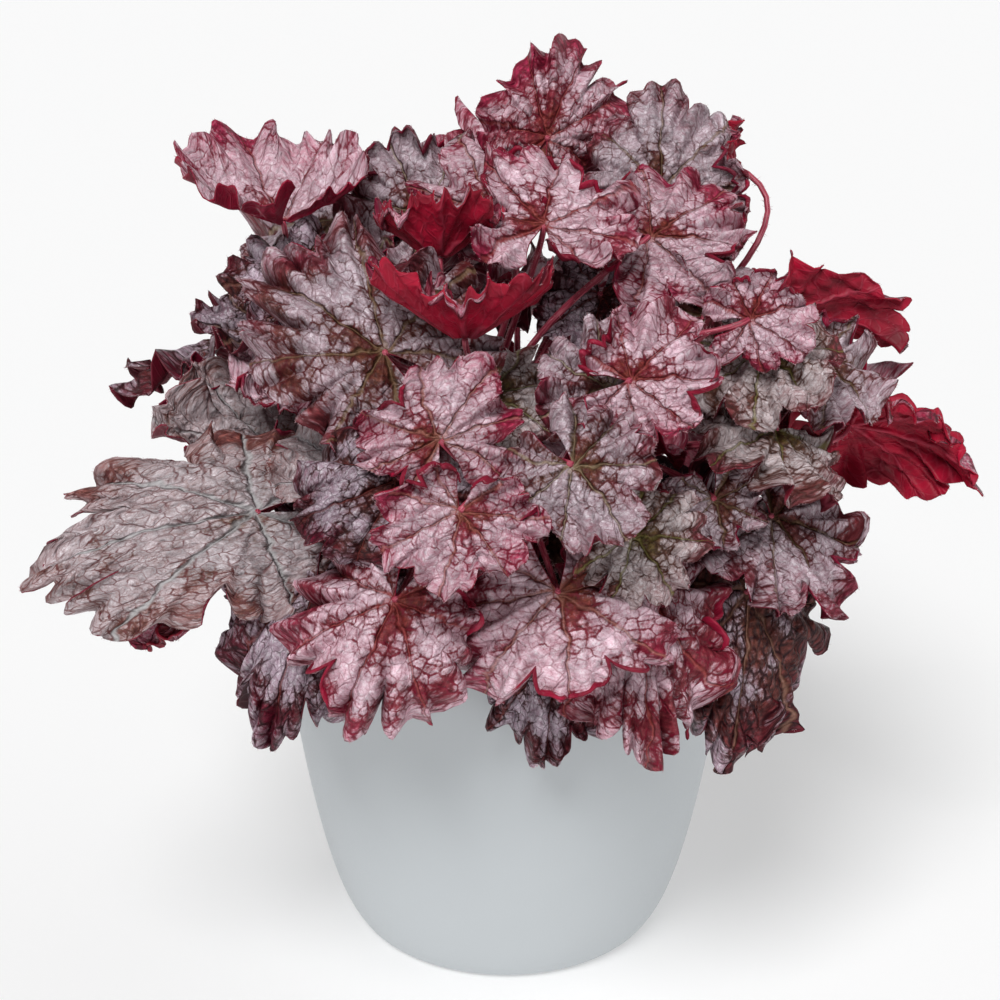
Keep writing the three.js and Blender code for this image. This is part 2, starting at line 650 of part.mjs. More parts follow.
const rows = [...LEAVES, ...tierLeaves()];
const pots = { cover_pot: coverPot(), nursery_pot: nurseryPot(), potting_soil: soil(), crown: crown(rows.length) };
const holder = Object.values(pots).map((solid) => new Placed(solid));
const blades = placeBlades(rows, holder);
growPetioles(blades, holder);

const plant = new THREE.Group();
plant.add(namedMesh('cover_pot', pots.cover_pot, material(0xe4e4e2, 0.6)));
plant.add(namedMesh('nursery_pot', pots.nursery_pot, material(0x141416, 0.6)));
plant.add(namedMesh('potting_soil', pots.potting_soil, material(0x2c211a, 0.95)));
plant.add(namedMesh('crown', pots.crown, material(0x4a3326, 0.9)));
for (const group of grownTogether(blades)) plant.add(leafMesh(group));

export default plant;
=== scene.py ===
"""Heuchera (coral bells) in its nursery pot, standing in a white cover pot.

Run as a script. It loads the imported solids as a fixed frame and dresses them: each leaf is regrown on the
same outline and bends as its solid, with a frilled margin, sunk veins and hairs, and each pot is turned
again with its true roundings.
"""

import math
from functools import partial

import bpy
import numpy as np
from bpy.props import FloatProperty, FloatVectorProperty, IntProperty, PointerProperty
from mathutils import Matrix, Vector


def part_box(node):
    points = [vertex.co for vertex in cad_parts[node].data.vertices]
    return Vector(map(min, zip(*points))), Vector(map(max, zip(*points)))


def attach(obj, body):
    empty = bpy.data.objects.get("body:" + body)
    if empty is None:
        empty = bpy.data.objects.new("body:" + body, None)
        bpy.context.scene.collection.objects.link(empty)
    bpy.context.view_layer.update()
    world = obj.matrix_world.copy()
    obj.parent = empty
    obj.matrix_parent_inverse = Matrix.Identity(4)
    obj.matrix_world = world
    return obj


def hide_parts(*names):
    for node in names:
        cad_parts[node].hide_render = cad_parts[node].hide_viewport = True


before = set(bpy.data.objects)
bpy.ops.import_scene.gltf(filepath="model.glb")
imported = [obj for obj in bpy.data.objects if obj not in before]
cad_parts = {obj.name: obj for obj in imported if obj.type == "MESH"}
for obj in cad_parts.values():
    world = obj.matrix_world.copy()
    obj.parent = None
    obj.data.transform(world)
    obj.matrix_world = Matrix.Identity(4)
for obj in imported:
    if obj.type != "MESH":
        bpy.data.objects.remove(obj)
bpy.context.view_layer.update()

bl_info = {
    "name": "Heuchera in a pot",
    "version": (1, 0, 0),
    "blender": (4, 5, 0),
    "location": "View3D > Sidebar > Heuchera",
    "description": "Dresses a potted heuchera: leaves, petioles, soil, pots and studio",
    "category": "Object",
}

MM = 0.001
BODY = "root"


# ---- Plain helpers ------------------------------------------------------------------------------


def linear(hex_colour):
    """An sRGB hex colour as linear red, green, blue."""
    channels = [int(hex_colour[i : i + 2], 16) / 255 for i in (1, 3, 5)]
    return tuple(c / 12.92 if c <= 0.04045 else ((c + 0.055) / 1.055) ** 2.4 for c in channels)


def colour_property(name, description, hex_colour):
    return FloatVectorProperty(
        name=name, description=description, default=linear(hex_colour), subtype="COLOR", min=0, max=1
    )


def size_property(name, description, metres):
    return FloatProperty(
        name=name, description=description, default=metres, min=0, unit="LENGTH", precision=4
    )


def share_property(name, description, default, high, low=0):
    return FloatProperty(
        name=name, description=description, default=default, min=low, max=high, subtype="FACTOR"
    )


def strength_property(name, description, default):
    return FloatProperty(name=name, description=description, default=default, min=0)


def count_property(name, description, default, high, low=1):
    return IntProperty(name=name, description=description, default=default, min=low, max=high)


def add_node(tree, kind, inputs=(), output=0, stops=(), **settings):
    """Adds a shader node and returns one of its outputs, or the node if it has none.

    Its inputs are a row from the first socket on, or a table by the socket's name or number. Each is a
    value or another node's output. Stops are the places and colours of a colour ramp.
    """
    node = tree.nodes.new("ShaderNode" + kind)
    for name, value in settings.items():
        setattr(node, name, value)
    for key, value in inputs.items() if isinstance(inputs, dict) else enumerate(inputs):
        socket = node.inputs[key]
        if isinstance(value, bpy.types.NodeSocket):
            tree.links.new(value, socket)
        else:
            socket.default_value = (*value, 1) if socket.type == "RGBA" else value
    for n, (place, colour) in enumerate(stops):
        elements = node.color_ramp.elements
        element = elements[n] if n < len(elements) else elements.new(place)
        element.position, element.color = place, (*colour, 1)
    return node.outputs[output] if node.outputs else node


def new_material(name):
    """An empty material, and what adds nodes to it."""
    material = bpy.data.materials.new(name)
    material.use_nodes = True
    material.node_tree.nodes.clear()
    return material, partial(add_node, material.node_tree)


def plain_shader(add, inputs):
    """Ends a material in one plain shader."""
    add("OutputMaterial", [add("BsdfPrincipled", inputs)])


def scaled(colour, share, lift=0):
    """A colour made darker or brighter by a share, and then paler by a lift."""
    return tuple(min(1, lift + share * c) for c in colour)


def smooth_step(low, high, x):
    """0 below low and 1 above high, with an eased rise between them."""
    t = np.clip((x - low) / (high - low), 0, 1)
    return t * t * (3 - 2 * t)


def between(start, end, share):
    return start + (end - start) * share


def mesh_object(name, points, faces, materials, face_materials=None, smooth=True):
    """A mesh piece from points in metres, riding on the plant's one body."""
    mesh = bpy.data.meshes.new(name)
    mesh.from_pydata([tuple(p) for p in points], [], faces)
    for material in materials:
        mesh.materials.append(material)
    if face_materials is not None:
        mesh.polygons.foreach_set("material_index", np.asarray(face_materials, dtype=np.int32))
    mesh.polygons.foreach_set("use_smooth", np.full(len(mesh.polygons), smooth))
    mesh.update()
    piece = bpy.data.objects.new(name, mesh)
    bpy.context.scene.collection.objects.link(piece)
    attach(piece, BODY)
    return piece


def corner_uv(mesh, name, per_point):
    """Gives a mesh a UV map with one value for each point."""
    layer = mesh.uv_layers.new(name=name)
    corners = np.empty(len(mesh.loops), dtype=np.int32)
    mesh.loops.foreach_get("vertex_index", corners)
    layer.data.foreach_set("uv", np.asarray(per_point, dtype=np.float32)[corners].ravel())


def point_colours(mesh, name, colours):
    """Gives a mesh a colour with alpha for each point."""
    layer = mesh.color_attributes.new(name=name, type="FLOAT_COLOR", domain="POINT")
    layer.data.foreach_set("color", np.asarray(colours, dtype=np.float32).ravel())


def on_circle(radius, z, turn):
    """The point at a share of a turn from +X."""
    angle = 2 * math.pi * turn
    return (radius * math.cos(angle), radius * math.sin(angle), z)


def shifted(faces, first):
    """Faces that count their points from a later one."""
    return [tuple(first + i for i in face) for face in faces]


def band(low, high, sides):
    """The faces between two rings of points, each given by its first point."""
    return [(low + k, low + (k + 1) % sides, high + (k + 1) % sides, high + k) for k in range(sides)]


def lathe(profile, sides):
    """Points and faces of a turned shell from (radius, z) points; the ends on the axis become fans."""
    points, rings = [], []
    for radius, z in profile:
        count = sides if radius > 0 else 1
        rings.append((len(points), count))
        points += [on_circle(radius, z, k / sides) for k in range(count)]
    faces = []
    for (low, low_count), (high, high_count) in zip(rings, rings[1:]):
        if low_count == 1:
            faces += [(low, high + (k + 1) % sides, high + k) for k in range(sides)]
        elif high_count == 1:
            faces += [(low + k, low + (k + 1) % sides, high) for k in range(sides)]
        else:
            faces += band(low, high, sides)
    return points, faces


def round_corner(before, corner, after, radius, steps=6):
    """The points of a rounded corner between two straight runs of a profile."""
    before, corner, after = (np.array(p, dtype=float) for p in (before, corner, after))
    start, end = (corner + unit(far - corner) * radius for far in (before, after))
    return [
        tuple((1 - t) ** 2 * start + 2 * t * (1 - t) * corner + t * t * end)
        for t in np.linspace(0, 1, steps)
    ]


def unit(vectors):
    """A vector, or each row of them, at length 1."""
    vectors = np.asarray(vectors, dtype=float)
    return vectors / np.linalg.norm(vectors, axis=-1, keepdims=True)


# ---- Leaf table: the same leaves as the solids --------------------------------------------------

# Each leaf: where its petiole meets the blade, its tip, and which way its upper face looks, in mm.
# Then its width over its length, and in degrees its cone (+ funnel, - umbrella), how its margin rolls
# (+ up, - under), and the bends of its midrib and across it (+ down at the ends); its tone.
LEAVES = [
    # the large ones that the others make way for
    ((-86, -75, 202), (-171, -95, 183), (-0.2, -1.6, 1.6), 0.5, 0, -10, 35, 30, "CREAM"),
    ((17, -118, 193), (24, -132, 150), (0, -2, 1), 1.25, 0, -20, 30, 40, "PINK"),
    ((-41, -78, 263), (-90, -52, 288), (-0.7, -1.6, 1.8), 0.8, 0, 0, 30, 30, "SILVER"),
    ((-15, -138, 231), (-21, -150, 204), (0, -2, 1), 1.1, 0, 20, 20, 20, "PINK"),
    ((21, -130, 244), (42, -142, 223), (0, -2, 1), 1.05, 0, 10, 25, 25, "SILVER"),
    ((40, -108, 266), (77, -100, 263), (0, -2, 1.6), 0.85, 0, 10, 30, 25, "PINK"),
    # front, over the rim
    ((-36, -118, 191), (-56, -126, 143), (-0.4, -2, 0.6), 0.85, 0, -20, 30, 50, "PINK"),
    ((47, -104, 185), (48, -118, 122), (0.3, -2, 0.3), 0.65, 0, -10, 25, 80, "PINK"),
    ((16, -103, 165), (14, -108, 112), (0, -2, 0), 0.6, 0, -10, 20, 70, "MAROON"),
    ((84, -72, 172), (71, -98, 106), (0.6, -2, 0.2), 0.65, 0, -10, 20, 80, "MAROON"),
    ((-64, -84, 182), (-80, -104, 126), (-0.5, -2, 0.3), 0.7, 0, -10, 30, 70, "MAROON"),
    ((42, -112, 211), (58, -120, 190), (0.3, -2, 1), 1.1, 0, 0, 10, 20, "OLIVE"),
    ((32, -100, 264), (8, -95, 274), (-0.6, -2, 2), 1.1, 10, 0, 10, 20, "SILVER"),
    ((-22, -108, 243), (-32, -98, 268), (0, -2, 0.8), 1.2, 10, 0, 10, 20, "PINK"),
    ((-35, -105, 228), (-70, -102, 207), (-0.5, -2, 1.2), 0.8, 0, -10, 30, 30, "MAROON"),
    # left
    ((-54, -95, 231), (-84, -97, 226), (-0.3, -2, 1.6), 1.0, 0, 0, 20, 20, "CREAM"),
    ((-84, -25, 216), (-140, -40, 221), (0, -1, 2), 0.7, 10, 20, 10, 10, "CREAM"),
    ((-78, -30, 231), (-102, -32, 236), (0, -1, 2), 0.9, 20, 0, 10, 10, "PINK"),
    ((-84, -15, 249), (-115, -20, 254), (0, -0.6, 2), 0.8, 10, 20, 10, 10, "MAROON"),
    ((-72, -20, 262), (-91, -10, 284), (0, -1.6, 1), 0.9, 10, 0, 10, 20, "MAROON"),
    ((-114, -55, 176), (-131, -60, 133), (-1, -1, 0), 0.5, 0, 0, 20, 60, "CRIMSON"),
    # right
    ((92, -60, 193), (120, -82, 165), (0.6, -1.6, 1.5), 0.8, 0, 0, 30, 20, "SILVER"),
    ((71, -84, 212), (78, -92, 190), (0.2, -1.6, 1.6), 1.1, 0, 0, 10, 20, "SILVER"),
    ((94, -55, 222), (64, -82, 209), (0, -1.6, 1.8), 0.9, 0, 0, 20, 20, "OLIVE"),
    ((85, -50, 250), (106, -62, 230), (0.5, -1.6, 1.6), 1.1, 0, 0, 10, 20, "OLIVE"),
    ((83, -45, 259), (106, -45, 267), (0, -1.6, 1), 1.0, 10, 0, 10, 10, "PINK"),
    ((100, -12, 252), (148, -8, 237), (0, 1.6, 1), 0.42, 10, 0, 60, 20, "CRIMSON"),
    ((129, 0, 207), (184, -8, 182), (0.1, 2, 1), 0.46, 0, -20, 30, 30, "CRIMSON"),
    ((112, -36, 246), (134, -44, 226), (0.3, -1.6, 1), 1.1, 0, 0, 10, 20, "SILVER"),
    # top
    ((-14, -82, 269), (-16, -102, 296), (0, 0.4, 2), 1.5, 40, 10, 0, 0, "CRIMSON"),
    ((-23, -50, 281), (-21, -66, 306), (0, 0.4, 2), 1.4, 40, 10, 0, 0, "CRIMSON"),
    ((-80, -10, 274), (-97, 18, 302), (0, -0.2, 2), 1.15, 30, 10, 0, 0, "PINK"),
    ((-28, 5, 286), (-50, 25, 320), (0, -2, 1), 0.95, 10, 0, 10, 10, "SILVER"),
    ((-3, -24, 298), (-18, -4, 319), (0, -2, 1), 1.2, 10, 0, 10, 10, "PINK"),
    ((13, -40, 296), (19, -20, 320), (0, -2, 1.4), 1.3, 10, 0, 10, 10, "PINK"),
    ((14, 10, 313), (31, 25, 350), (0.3, -2, 0.8), 0.72, 0, 0, 10, 60, "PINK"),
    ((56, 0, 297), (55, 22, 331), (0, -2, 1), 0.95, 0, 0, 10, 20, "SILVER"),
    ((84, 40, 296), (87, 45, 314), (-1, 0.5, 0.5), 0.6, 0, 0, 10, 30, "CRIMSON"),
    ((73, 10, 289), (92, 10, 306), (0, -2, 1), 1.0, 0, 0, 10, 20, "PINK"),
    ((50, -30, 289), (92, -38, 290), (0, -1.6, 1.6), 0.75, 0, 0, 20, 20, "PINK"),
    ((69, -50, 267), (90, -40, 279), (0, -2, 1), 1.2, 0, 0, 20, 20, "SILVER"),
    # in the shade of the others
    ((34, -12, 262), (30, -28, 240), (0, -1.6, 1), 1.0, 0, 0, 10, 20, "MAROON"),
    ((-6, -66, 244), (-2, -84, 222), (0, -2, 1), 1.1, 0, 0, 10, 20, "OLIVE"),
]

# The far side and the inside of the mound, in tiers. Each has the radius and height its petioles end at,
# how many leaves it has, the first and last one's bearing in degrees from +X, and how long and how steep
# its blades lie.
TIERS = [
    (104, 186, 5, 12, 172, 60, 65),
    (106, 236, 5, 20, 160, 56, 38),
    (70, 280, 4, 30, 150, 50, 10),
    (28, 250, 2, 50, 130, 34, 5),
    (50, 215, 2, 245, 300, 38, 10),
]
TIER_TONES = ("MAROON", "SILVER", "PINK")
TIER_SHAPE = (1, 5, 0, 25, 25)  # width, cone, roll and the two bends
TIER_UNEVENNESS = 7  # mm and degrees
TIER_SEED = 404

# The same leaf shape as the solids, in mm, shares and degrees.
BLADE_THICKNESS = 0.8
PETIOLE_RADIUS = 1.7
PETIOLE_STEPS = 5
LOBES = 7
LOBE_ANGLE = math.radians(45)
BASE_SHORTENING = 0.34
BASE_POWER = 1.4
NOTCH_DEPTH = 0.2
NOTCH_POWER = 4
TOOTH_DEPTH = 0.03
LOBE_VARIATION = 0.1
PLEAT = 0.07
RUFFLE = 0.17
REGULAR_RUFFLE = 0.6
UNEVEN_RUFFLE = 0.7
BASE_LOBE_BEND = 0.4
STRAIGHT = 1e-6  # radians for each mm
MOVE_EFFORTS = 6
MOVE_OUT = 3
MOVE_TIP = 5
MOVE_ROLL = 6
MOVE_DIRECTIONS = [
    (1, 0, 0), (-1, 0, 0), (0, 1, 0), (0, -1, 0), (0, 0, 1), (0, 0, -1),
    (1, 1, 0), (1, -1, 0), (-1, 1, 0), (-1, -1, 0),
]
CLEARANCE = 0.3
CROWN_TOP = 171
NECK_RISE = 2
SOCKET_BOTTOM = 152
SOCKET_SPACING = 4.7
SOCKET_SHARE = 0.27
GOLDEN_ANGLE = math.pi * (3 - math.sqrt(5))
PETIOLE_SWINGS = (0, 8, -8, 16, -16, 26, -26, 38, -38)
PETIOLE_LEANS = (0.3, 1)
PETIOLE_RISES = (45, 25, 65, 85)
PETIOLE_REACHES = (30, 15, 45, 60)


# What only the fine blades have.
NET_LEAF_LENGTH = 38.0  # mm, the blade that frills and panes are sized for; those of longer ones grow less
OPEN_CONES = (15, 35)  # degrees between which an open blade turns into a cup
FUNNEL_CONES = (30, 40)  # and a cup into the funnel of a very young leaf
AGEING_LENGTHS = (50, 90)  # mm between which a young blade turns into an old one
NARROW_WIDTHS = (0.35, 0.75)  # widths over lengths below which a blade frills less
BASE_CLOSING = 0.07  # the basal lobes come this much nearer to each other
CURL_START = 0.68  # share of the way to the margin where it starts to curl
CURL_TURN = 2.6  # radians that a full curl turns
PUCKER = 1.45  # mm, one radian of the quilting's waves
VEIN_DEPTH = 0.9  # mm
VEIN_HALF_WIDTH = 1.3  # mm


def random_source(seed):
    """The repeatable random numbers that the solids use."""
    mask = 0xFFFFFFFF
    state = seed * 2654435761 & mask

    def draw():
        nonlocal state
        state = (state + 0x6D2B79F5) & mask
        t = (state ^ (state >> 15)) * (1 | state) & mask
        t = ((t + ((t ^ (t >> 7)) * (61 | t) & mask)) ^ t) & mask
        return ((t ^ (t >> 14)) & mask) / 4294967296

    return draw


def turn_y(angle):
    c, s = math.cos(angle), math.sin(angle)
    return np.array([[c, 0, s], [0, 1, 0], [-s, 0, c]])


def turn_x(angle):
    c, s = math.cos(angle), math.sin(angle)
    return np.array([[1, 0, 0], [0, c, -s], [0, s, c]])


def tier_leaves():
    """Rows like those of the leaf table for the tiers."""
    draw = random_source(TIER_SEED)

    def uneven():
        return TIER_UNEVENNESS * (2 * draw() - 1)

    rows = []
    for radius, height, count, first, last, length, fall in TIERS:
        for i in range(count):
            bearing = math.radians(first + (last - first) * i / (count - 1) + uneven())
            slope = math.radians(fall + uneven())
            outward = np.array([math.cos(bearing), math.sin(bearing), 0])
            hub = outward * (radius + uneven())
            hub[2] = height + uneven()
            along = outward * math.cos(slope) - np.array([0, 0, math.sin(slope)])
            face = outward * math.sin(slope) + np.array([0, 0, math.cos(slope)])
            tip = hub + along * (length + uneven())
            tone = TIER_TONES[len(rows) % len(TIER_TONES)]
            rows.append((hub, tip, face, *TIER_SHAPE, tone))
    return rows


def bend(x, z, curvature):
    """Bends a strip: x runs along it and z above it; + bends the far end down."""
    if np.max(np.abs(curvature)) < STRAIGHT:
        return x, z
    curvature = np.where(np.abs(curvature) < STRAIGHT, STRAIGHT, curvature)
    c, s = np.cos(curvature * x), np.sin(curvature * x)
    return s / curvature + z * s, (c - 1) / curvature + z * c


class Frill:
    """What the solids leave out of a blade's margin: rounded teeth, frills, curls and puckers."""

    WAVES = (0.6, 1.3, 2.1, 3.3)  # waves in a lobe's width
    WEIGHTS = (0.8, 1.0, 1.0, 0.5)
    WHOLE = 1.5  # the sum of the waves that lifts the margin by the frill's depth
    TEETH = 7  # small rounded teeth on a lobe
    FULLNESS = {"PINK": 1.25, "SILVER": 1.1, "CREAM": 0.85, "OLIVE": 1.0, "MAROON": 1.0, "CRIMSON": 1.1}
    SINUS, OPEN_SINUS, OLD_SINUS = 0.04, 0.2, 0.1  # its depth on any blade, and more on an open or old one
    SINUS_POWER = 5  # the higher, the narrower
    LOBULE, OLD_LOBULE = 0.05, 0.08  # depth of the notches beside a lobe's tip
    LOBULE_PLACE, LOBULE_WIDTH = 0.25, 0.05  # in lobes, from the tip
    CURLS = (-0.7, 1.4)  # from curled under to curled up
    PUCKERS = 7  # waves in the quilting

    def __init__(self, blade, leaf):
        rng = np.random.RandomState(blade.number)
        self.leaf, self.blade = leaf, blade
        self.fullness = self.FULLNESS[blade.tone]
        self.calm = between(0.45, 1, smooth_step(*NARROW_WIDTHS, blade.width))
        self.pace = max(1, blade.length / NET_LEAF_LENGTH) ** 0.6 * (1 + 0.5 * blade.funnel)
        self.regular = 0.3 * blade.openness * self.calm
        self.uneven = (0.3 + 0.6 * blade.openness) * self.calm
        self.phases = rng.uniform(0, 2 * math.pi, (3, len(self.WAVES)))
        self.curls = rng.uniform(*self.CURLS, LOBES + 1) - 0.5 * blade.funnel
        self.quilt = rng.uniform(0, 2 * math.pi, (self.PUCKERS, 2))

    def waves(self, phi, row):
        """Uneven frills: sharp crests with wide valleys between them."""
        lobe = phi / LOBE_ANGLE * self.pace
        total = sum(
            w * np.cos(2 * math.pi * f * lobe + p + 0.9 * np.sin(2.3 * lobe + p))
            for f, w, p in zip(self.WAVES, self.WEIGHTS, self.phases[row])
        )
        return total / self.WHOLE

    def outline(self, phi):
        """The margin over the lobe's own length: broad lobes with three shallow lobules and small teeth."""
        age, funnel = self.blade.age, self.blade.funnel
        lobe = phi / LOBE_ANGLE
        t = np.abs(lobe - np.round(lobe))
        sinus = self.SINUS + self.OPEN_SINUS * self.blade.openness + self.OLD_SINUS * age
        sinuses = 1 - sinus * (2 * t) ** (self.SINUS_POWER - age)
        notch = np.exp(-(((t - self.LOBULE_PLACE) / self.LOBULE_WIDTH) ** 2))
        lobules = 1 - (self.LOBULE + self.OLD_LOBULE * age) * notch
        swing = lobe * self.pace**0.5 * self.TEETH / 2 + 0.3 * np.sin(3.1 * lobe + self.phases[2, 0])
        teeth = np.abs(np.sin(math.pi * swing)) ** 0.7 - 1
        uneven = 0.7 + 0.5 * np.cos(5.3 * lobe + self.phases[2, 1])
        depth = self.leaf.tooth_depth * (1 + 1.4 * funnel + 0.5 * age)
        return sinuses * lobules * (1 + depth * uneven * teeth)

    def curl(self, phi):
        """How far the margin curls over here: + up, - under."""
        openness = self.blade.openness
        values = np.interp(phi / LOBE_ANGLE + LOBES / 2, np.arange(LOBES + 1), self.curls)
        amount = np.sign(values) * smooth_step(0.3, 1.0, np.abs(values))
        return amount * np.where(values > 0, openness, openness + self.blade.funnel)


class Blade:
    """One leaf blade, in mm: the surface that its solid samples, and the fine one grown on it."""

    def __init__(self, row, number):
        hub, tip, face, width, cone, roll, arch, cup, tone = row
        draw = random_source(number)
        self.number = number
        self.tone = tone
        self.width = width
        self.cone, self.roll, self.arch, self.cup = map(math.radians, (cone, roll, arch, cup))
        self.openness = 1 - smooth_step(*OPEN_CONES, cone)  # 1 for an open blade, 0 for a cup
        self.funnel = smooth_step(*FUNNEL_CONES, cone)
        self.lobe_lengths = np.array([1 + LOBE_VARIATION * (2 * draw() - 1) for _ in range(LOBES)])
        self.lobe_lengths[LOBES // 2] = 1
        self.lobe_heights = np.array([2 * draw() - 1 for _ in range(LOBES)])
        self.wave_phase = 2 * math.pi * draw()
        self.hub, self.face = np.asarray(hub, dtype=float), unit(face)
        chord = np.asarray(tip, dtype=float) - self.hub
        self.length = 1.0
        unit_tip = self.local(np.array([0.0]), np.array([1.0]))[0]
        self.length = np.linalg.norm(chord) / math.hypot(unit_tip[0], unit_tip[2])
        self.age = smooth_step(*AGEING_LENGTHS, self.length)  # 0 for a young blade, 1 for an old one
        along = unit(chord)
        across = unit(np.cross(self.face, along))
        axes = np.column_stack([along, across, np.cross(along, across)])
        self.turn = axes @ turn_y(math.atan2(unit_tip[2], unit_tip[0]))
        self.move((0, 0, 0))

    def move(self, step):
        """Sets the blade by mm along its face and by degrees about its width and its midrib."""
        out, tip, roll = step
        self.place = self.hub + self.face * out
        self.placed_turn = self.turn @ turn_y(math.radians(tip)) @ turn_x(math.radians(roll))

    def world(self, points):
        """Points of the blade in the plant's frame."""
        return points @ self.placed_turn.T + self.place

    def across_lobes(self, values, phi):
        """A value given for each lobe, eased from one lobe to the next."""
        place = phi / LOBE_ANGLE + (LOBES - 1) / 2
        below = np.clip(np.floor(place), 0, LOBES - 1).astype(int)
        above = np.minimum(below + 1, LOBES - 1)
        share = smooth_step(0, 1, place - below)
        return values[below] * (1 - share) + values[above] * share

    def outline(self, phi):
        """Distance from the petiole's end to the solid's margin."""
        lobe = phi / LOBE_ANGLE
        t = np.abs(lobe - np.round(lobe))
        base = 1 - BASE_SHORTENING * (np.abs(phi) / math.pi) ** BASE_POWER
        notch = 1 - NOTCH_DEPTH * (2 * t) ** NOTCH_POWER
        teeth = 1 + TOOTH_DEPTH * np.cos(6 * math.pi * t)
        return self.length * base * notch * teeth * self.across_lobes(self.lobe_lengths, phi)

    def local(self, phi, s, frill=None):
        """Points of the blade: phi round the petiole's end, s from there to the margin."""
        radius = s * self.outline(phi)
        tilt = self.cone + self.roll * s**3 / 2
        lobe = phi / LOBE_ANGLE
        pleat = PLEAT * np.sin(math.pi * lobe) ** 2 * s * (1 - 0.5 * s)
        regular = REGULAR_RUFFLE * np.cos(2 * math.pi * lobe + self.wave_phase)
        uneven = UNEVEN_RUFFLE * self.across_lobes(self.lobe_heights, phi)
        if frill is not None:
            regular, uneven = regular * frill.regular, uneven * frill.uneven
        rise = self.length * (pleat + RUFFLE * s * s * (regular + uneven))
        if frill is not None:
            phi, radius, rise = self.frilled(phi, s, radius, rise, frill)
        flat_x = radius * np.cos(phi) * np.cos(tilt)
        flat_y = radius * np.sin(phi) * np.cos(tilt) * self.width
        height = radius * np.sin(tilt) + rise
        share = np.where(flat_x > 0, 1.0, BASE_LOBE_BEND)
        x, lifted = bend(flat_x, height, share * self.arch / self.length)
        y, z = bend(flat_y, lifted, self.cup / self.length * np.ones_like(flat_y))
        return np.stack([x, y, z], axis=-1)

    def frilled(self, phi, s, radius, rise, frill):
        """Adds to the solid's shape what only the fine surface has."""
        leaf = frill.leaf
        size = self.length * (NET_LEAF_LENGTH / self.length) ** 0.3
        lobe = phi / LOBE_ANGLE
        t = np.abs(lobe - np.round(lobe))

        # the teeth and sinuses of the solid give way to finer ones towards the margin
        plain = (1 - NOTCH_DEPTH * (2 * t) ** NOTCH_POWER) * (1 + TOOTH_DEPTH * np.cos(6 * math.pi * t))
        radius = radius * (1 + (frill.outline(phi) / plain - 1) * s**4)

        # frills lift the margin and draw it in
        reach = frill.fullness * frill.calm * (0.5 + 0.5 * self.openness + 0.2 * self.funnel)
        depth = size * leaf.frill_depth * reach
        wave = frill.waves(phi, 0)
        rise = rise + depth * s ** (2.4 + 2.4 * self.age) * wave
        radius = radius - 0.08 * depth * s**4 * wave**2
        phi = phi * (1 + BASE_CLOSING * s) + 0.4 * leaf.frill_depth * s**4 * frill.waves(phi, 1)

        # the margin curls over in places
        curl = frill.curl(phi)
        angle = CURL_TURN * smooth_step(CURL_START, 1.0, s) * (0.6 + 0.4 * s)
        turn = size * leaf.margin_curl * frill.fullness
        rise = rise + 0.8 * turn * curl * np.sin(angle)
        radius = radius - 0.7 * turn * np.abs(curl) * (1 - np.cos(angle))

        # the skin is quilted, and the main veins lie sunk in it
        x, y = radius * np.cos(phi), radius * np.sin(phi)
        quilt = sum(np.cos((x * math.cos(a) + y * math.sin(a)) / PUCKER + b) for a, b in frill.quilt)
        swell = 0.27 * leaf.quilt_height / MM * (0.4 + 0.6 * self.openness)
        rise = rise + swell * quilt * smooth_step(0.05, 0.4, s)
        vein = np.abs(radius * np.sin((lobe - np.round(lobe)) * LOBE_ANGLE))
        rise = rise - VEIN_DEPTH * np.exp(-((vein / VEIN_HALF_WIDTH) ** 2)) * (1 - 0.6 * s)
        return phi, radius, rise


def blade_moves():
    """The small moves that a solid may have been grown with, the least first."""
    yield (0, 0, 0)
    for effort in range(1, MOVE_EFFORTS + 1):
        for out, tip, roll in MOVE_DIRECTIONS:
            yield (MOVE_OUT * effort * out, MOVE_TIP * effort * tip, MOVE_ROLL * effort * roll)


def petiole_runs():
    """The runs that a solid's petiole may take."""
    for swing in PETIOLE_SWINGS:
        for lean in PETIOLE_LEANS:
            for rise in PETIOLE_RISES:
                for reach in PETIOLE_REACHES:
                    yield (rise, reach, lean, swing)


def petiole_point(blade, run, t):
    """The middle of the petiole at t from 0 in the crown to 1 at the blade."""
    rise, reach, lean, swing = run
    base = np.array([*blade.socket, SOCKET_BOTTOM + CLEARANCE])
    neck = np.array([*blade.socket, CROWN_TOP + NECK_RISE])
    hub = blade.place
    side = unit([-hub[1], hub[0], 0]) * swing
    arrival = blade.placed_turn @ unit([lean, 0, 1])
    lift = neck + side + np.array([0, 0, rise])
    meet = hub - arrival * reach + side
    upright = 1 / PETIOLE_STEPS
    t = np.asarray(t, dtype=float)[:, None]
    low = base + (neck - base) * np.clip(t / upright, 0, 1)
    u = np.clip((t - upright) / (1 - upright), 0, 1)
    sweep = (1 - u) ** 3 * neck + 3 * (1 - u) ** 2 * u * lift + 3 * (1 - u) * u * u * meet + u**3 * hub
    return np.where(t < upright, low, sweep)


def nearest(points, cloud):
    """Distance from each point to the nearest one of a cloud."""
    return np.sqrt(((points[:, None, :] - cloud[None, :, :]) ** 2).sum(-1)).min(1)


def node_of_leaf():
    """The solid that each numbered leaf belongs to."""
    owners = {}
    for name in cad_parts:
        if name.startswith(("leaf_", "leaves_")):
            for label in name.split("_")[1:]:
                owners[int(label)] = name
    return owners


def fit_move(blade):
    """Sets a blade to the small move that its solid was grown with."""
    margin = (np.arange(1, LOBES * 4, 2) / 4 - LOBES / 2) * LOBE_ANGLE
    rim = blade.local(margin, np.ones_like(margin))

    def misfit(step):
        blade.move(step)
        return np.median(np.abs(nearest(blade.world(rim), blade.cloud) - BLADE_THICKNESS / 2))

    blade.move(min(blade_moves(), key=misfit))


